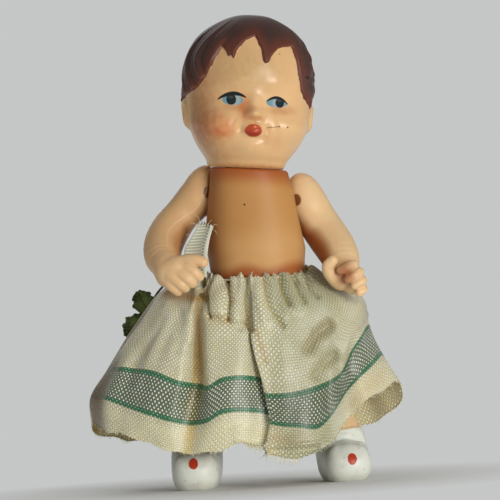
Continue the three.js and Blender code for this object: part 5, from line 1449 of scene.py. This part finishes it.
share = np.linspace(0, 1, STRAP_LEVELS)
outline = fine_curve([row[0] for row in STRAP_OUTLINE], [row[1:] for row in STRAP_OUTLINE], share)
across = np.linspace(0, 1, STRAP_COLUMNS)[None, :]
strap_x = outline[:, :1] + (outline[:, 1:2] - outline[:, :1]) * across
strap_z = outline[:, 2:3] + (outline[:, 3:4] - outline[:, 2:3]) * across
torn = 0.35 * np.sin(across * 31) + 0.25 * np.sin(across * 57 + 1)
strap_z = strap_z + smoothstep(0.9, 1.0, share)[:, None] * torn
strap_y = -6.6 + 0.55 * np.sin(across * math.pi * 1.1) - 0.9 * across + 1.3 * share[:, None] ** 2
ribs = 0.10 * np.cos(strap_z * 2 * math.pi / STRAP_RIB_PITCH)
strap_y = strap_y + ribs * (across < 0.72) - 0.22 * bump(across - 0.86, 0.10)
strap_grid = np.stack([strap_x, strap_y, strap_z], -1)
strap = make_mesh("torn_strap", strap_grid.reshape(-1, 3), grid_faces(STRAP_COLUMNS, STRAP_LEVELS, False))
mark(strap, "strap_across", np.broadcast_to(across, strap_x.shape))
mark(strap, "strap_up", strap_z)

paint = Paint("ribbed_strap_ribbon", STRAP_WHITE, 0.5)
across_strap, up_strap = paint.value("strap_across"), paint.value("strap_up")
rib = paint.math("SINE", up_strap * (2 * math.pi / STRAP_RIB_PITCH))
# The grooves between the ribs get a painted shade
paint.coat(paint.step(rib, 0.2, -0.9), STRAP_GROOVE_SHADE, 0.7)
paint.coat(paint.step(across_strap, 0.70, 0.76), STRAP_EDGE)
green_edge = paint.step(abs(across_strap - 0.8), 0.07, 0.03) * paint.step(rib, -0.3, 0.5)
paint.coat(green_edge, STRAP_GREEN, 0.75)
strap_height = rib * 0.5 + paint.noise(2600, 3) * 0.6
strap.data.materials.append(paint.finish(strap_height, 0.00012, 1.0))
thicken(strap, STRAP_THICKNESS)

# A few loose threads stand out of its torn top
FRAY_BOW = np.array([0.12, -0.25, 0.18])
FRAY_PALE = (0.74, 0.71, 0.55)
FRAY_DARK = (0.50, 0.46, 0.28)
STRAP_FRAYS = [
    # x and z at the root and at the end
    (-11.6, 55.8, -12.6, 57.6), (-10.9, 55.7, -10.6, 57.2), (-10.1, 55.3, -9.0, 56.4),
    (-9.3, 55.0, -7.9, 55.2), (-12.2, 55.2, -13.6, 55.9), (-13.6, 53.0, -14.7, 53.6),
    (-9.0, 54.2, -8.1, 53.3),
]


def bowed(start, end):
    """Stations along a short thread, which bows a little and thins toward its end."""
    start, end = np.array(start, float), np.array(end, float)
    bow = FRAY_BOW * np.linalg.norm(end - start)
    return [(*(start + (end - start) * place + bow * math.sin(place * math.pi)), 1 - 0.5 * place)
            for place in np.linspace(0, 1, 7)]


def threads(name, lines, radius, finish):
    """Round threads through lines of stations: x, y, z and the share of the radius there."""
    curve = bpy.data.curves.new(name, "CURVE")
    curve.dimensions = "3D"
    curve.bevel_depth = radius * MM
    curve.bevel_resolution = 2
    for stations in lines:
        spline = curve.splines.new("POLY")
        spline.points.add(len(stations) - 1)
        for spline_point, station in zip(spline.points, stations):
            spline_point.co = (*((np.array(station[:3]) + np.array(stand)) * MM), 1)
            spline_point.radius = station[3]
    piece = bpy.data.objects.new(name, curve)
    bpy.context.scene.collection.objects.link(piece)
    curve.materials.append(finish)
    return piece


paint = Paint("loose_thread", FRAY_PALE, 0.6)
paint.coat(paint.step(paint.noise(1500, 2), 0.35, 0.7), FRAY_DARK, 0.6)
thread_finish = paint.finish(paint.noise(4000, 2), 0.00003, 0.6)
fray_lines = [bowed((x0, -5.6, z0), (x1, -6.0, z1)) for x0, z0, x1, z1 in STRAP_FRAYS]
strap_frays = threads("strap_frays", fray_lines, 0.05, thread_finish)
for piece in (strap, strap_frays):
    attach(piece, "torso")
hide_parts("strap")

# A sprig of two crinkled cloth leaves on a wire stem is tucked into the skirt's waist
# behind the doll's right hand.
LEAF_ROWS, LEAF_COLUMNS = 44, 29
LEAF_THICKNESS = 0.22
LEAF_VEINS, VEIN_SLANT = 6.5, 1.6
LEAF_DARK = (0.040, 0.062, 0.016)
LEAF_LIGHT = (0.19, 0.26, 0.065)
VEIN_GREEN = (0.16, 0.20, 0.06)
RIB_GREEN = (0.18, 0.2, 0.07)


def make_leaf(name, node, tip, root, width, cup, lift):
    """A serrated leaf with a middle rib, between its root and its tip."""
    root, tip = np.array(root, float), np.array(tip, float)
    along = tip - root
    length = np.linalg.norm(along)
    along = along / length
    facing = np.array([0.10, -1.0, 0.15])
    sideways = np.cross(along, facing)
    sideways /= np.linalg.norm(sideways)
    facing = np.cross(sideways, along)
    v = np.linspace(0, 1, LEAF_ROWS)[:, None]
    u = np.linspace(-1, 1, LEAF_COLUMNS)[None, :]
    lobes = 0.60 * np.abs((v * 3.2 + 0.12 * np.sign(u)) % 1 - 0.5) + 0.20 * np.abs((v * 9.7) % 1 - 0.5)
    oval_half = np.sin(math.pi * np.clip(0.03 + 0.94 * v, 0, 1)) ** 0.7
    half = width / 2 * np.maximum(oval_half, 0.03) * (1.12 - lobes)
    rib = -0.35 * bump(u, 0.10)
    veins = 0.14 * np.cos((v * LEAF_VEINS - np.abs(u) * VEIN_SLANT) * 2 * math.pi)
    fold = cup * np.abs(u) ** 1.3 + rib + veins * np.abs(u) + lift * np.sin(v * math.pi * 1.4 + 0.4)
    points = root + along * (v * length)[..., None] + sideways * (u * half)[..., None]
    points = points + facing * fold[..., None]
    leaf = make_mesh(name, points.reshape(-1, 3), grid_faces(LEAF_COLUMNS, LEAF_ROWS, False))
    mark(leaf, "leaf_u", np.broadcast_to(u, half.shape))
    mark(leaf, "leaf_v", np.broadcast_to(v, half.shape))
    thicken(leaf, LEAF_THICKNESS)
    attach(leaf, "torso")
    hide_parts(node)
    return leaf


paint = Paint("crinkled_leaf_cloth", LEAF_DARK, 0.7)
leaf_u, leaf_v = paint.value("leaf_u"), paint.value("leaf_v")
paint.coat(paint.step(paint.noise(420, 4), 0.35, 0.68), LEAF_LIGHT, 0.8)
vein_wave = paint.math("COSINE", (leaf_v * LEAF_VEINS - abs(leaf_u) * VEIN_SLANT) * (2 * math.pi))
paint.coat(paint.step(vein_wave, 0.80, 0.97), VEIN_GREEN, 0.5)
paint.coat(paint.step(abs(leaf_u), 0.1, 0.03), RIB_GREEN, 0.6)
leaf_finish = paint.finish(paint.noise(1500, 4) + vein_wave * 0.3, 0.00018, 1.0)
upper_leaf = make_leaf("upper_leaf", "leaf_upper", (-25.8, 9.2, 42.3), (-23.6, 8.6, 37.3), 5.2, 0.6, 0.5)
lower_leaf = make_leaf("lower_leaf", "leaf_lower", (-28.9, 8.9, 32.7), (-25.0, 8.6, 37.1), 4.9, 0.6, 0.4)
for leaf in (upper_leaf, lower_leaf):
    leaf.data.materials.append(leaf_finish)

# The stem is wire wrapped in dark tape
STEM_DARK = (0.045, 0.040, 0.018)
STEM_GREEN = (0.09, 0.10, 0.035)
paint = Paint("wrapped_wire_stem", STEM_DARK, 0.75)
paint.coat(paint.step(paint.noise(900, 3), 0.4, 0.65), STEM_GREEN, 0.6)
stem_finish = paint.finish(paint.noise(2500, 3), 0.00008, 0.8)


def dress(node, finish):
    """Gives a part's own solid the finish."""
    for slot in bpy.data.objects[node].material_slots:
        slot.material = finish


dress("leaf_stem", stem_finish)

# The leaves' own thin stems run up along the skirt's edge, and over its ruffle into the waist
LEAF_STEMS = [
    [
        (-9.9, 5.2, 43.4, 1), (-11.3, 5.9, 45.9, 1), (-14.0, 6.5, 46.6, 1), (-17.4, 7.0, 45.2, 1),
        (-20.5, 7.4, 42.8, 1), (-22.4, 8.0, 40.6, 1), (-24.0, 8.3, 38.5, 1), (-25.2, 8.5, 36.9, 1),
    ],
    [(-24.7, 8.3, 37.2, 1), (-25.9, 8.4, 38.2, 1), (-27.0, 8.5, 39.2, 1)],
]
leaf_stems = threads("leaf_stems", [smooth_path(stem, 24) for stem in LEAF_STEMS], 0.24, stem_finish)
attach(leaf_stems, "torso")

# Two cords of round braided elastic string the limbs together inside the torso, and a
# cotton thread gathers the ribbon at the waist.
ELASTIC_PALE = (0.60, 0.55, 0.44)
ELASTIC_DARK = (0.42, 0.36, 0.25)
paint = Paint("braided_elastic", ELASTIC_PALE, 0.65)
paint.coat(paint.step(paint.noise(1800, 3), 0.4, 0.65), ELASTIC_DARK, 0.5)
elastic_finish = paint.finish(paint.noise(3600, 2), 0.00006, 0.8)
for node in ("arm_elastic", "leg_elastic"):
    dress(node, elastic_finish)
dress("gathering_thread", thread_finish)
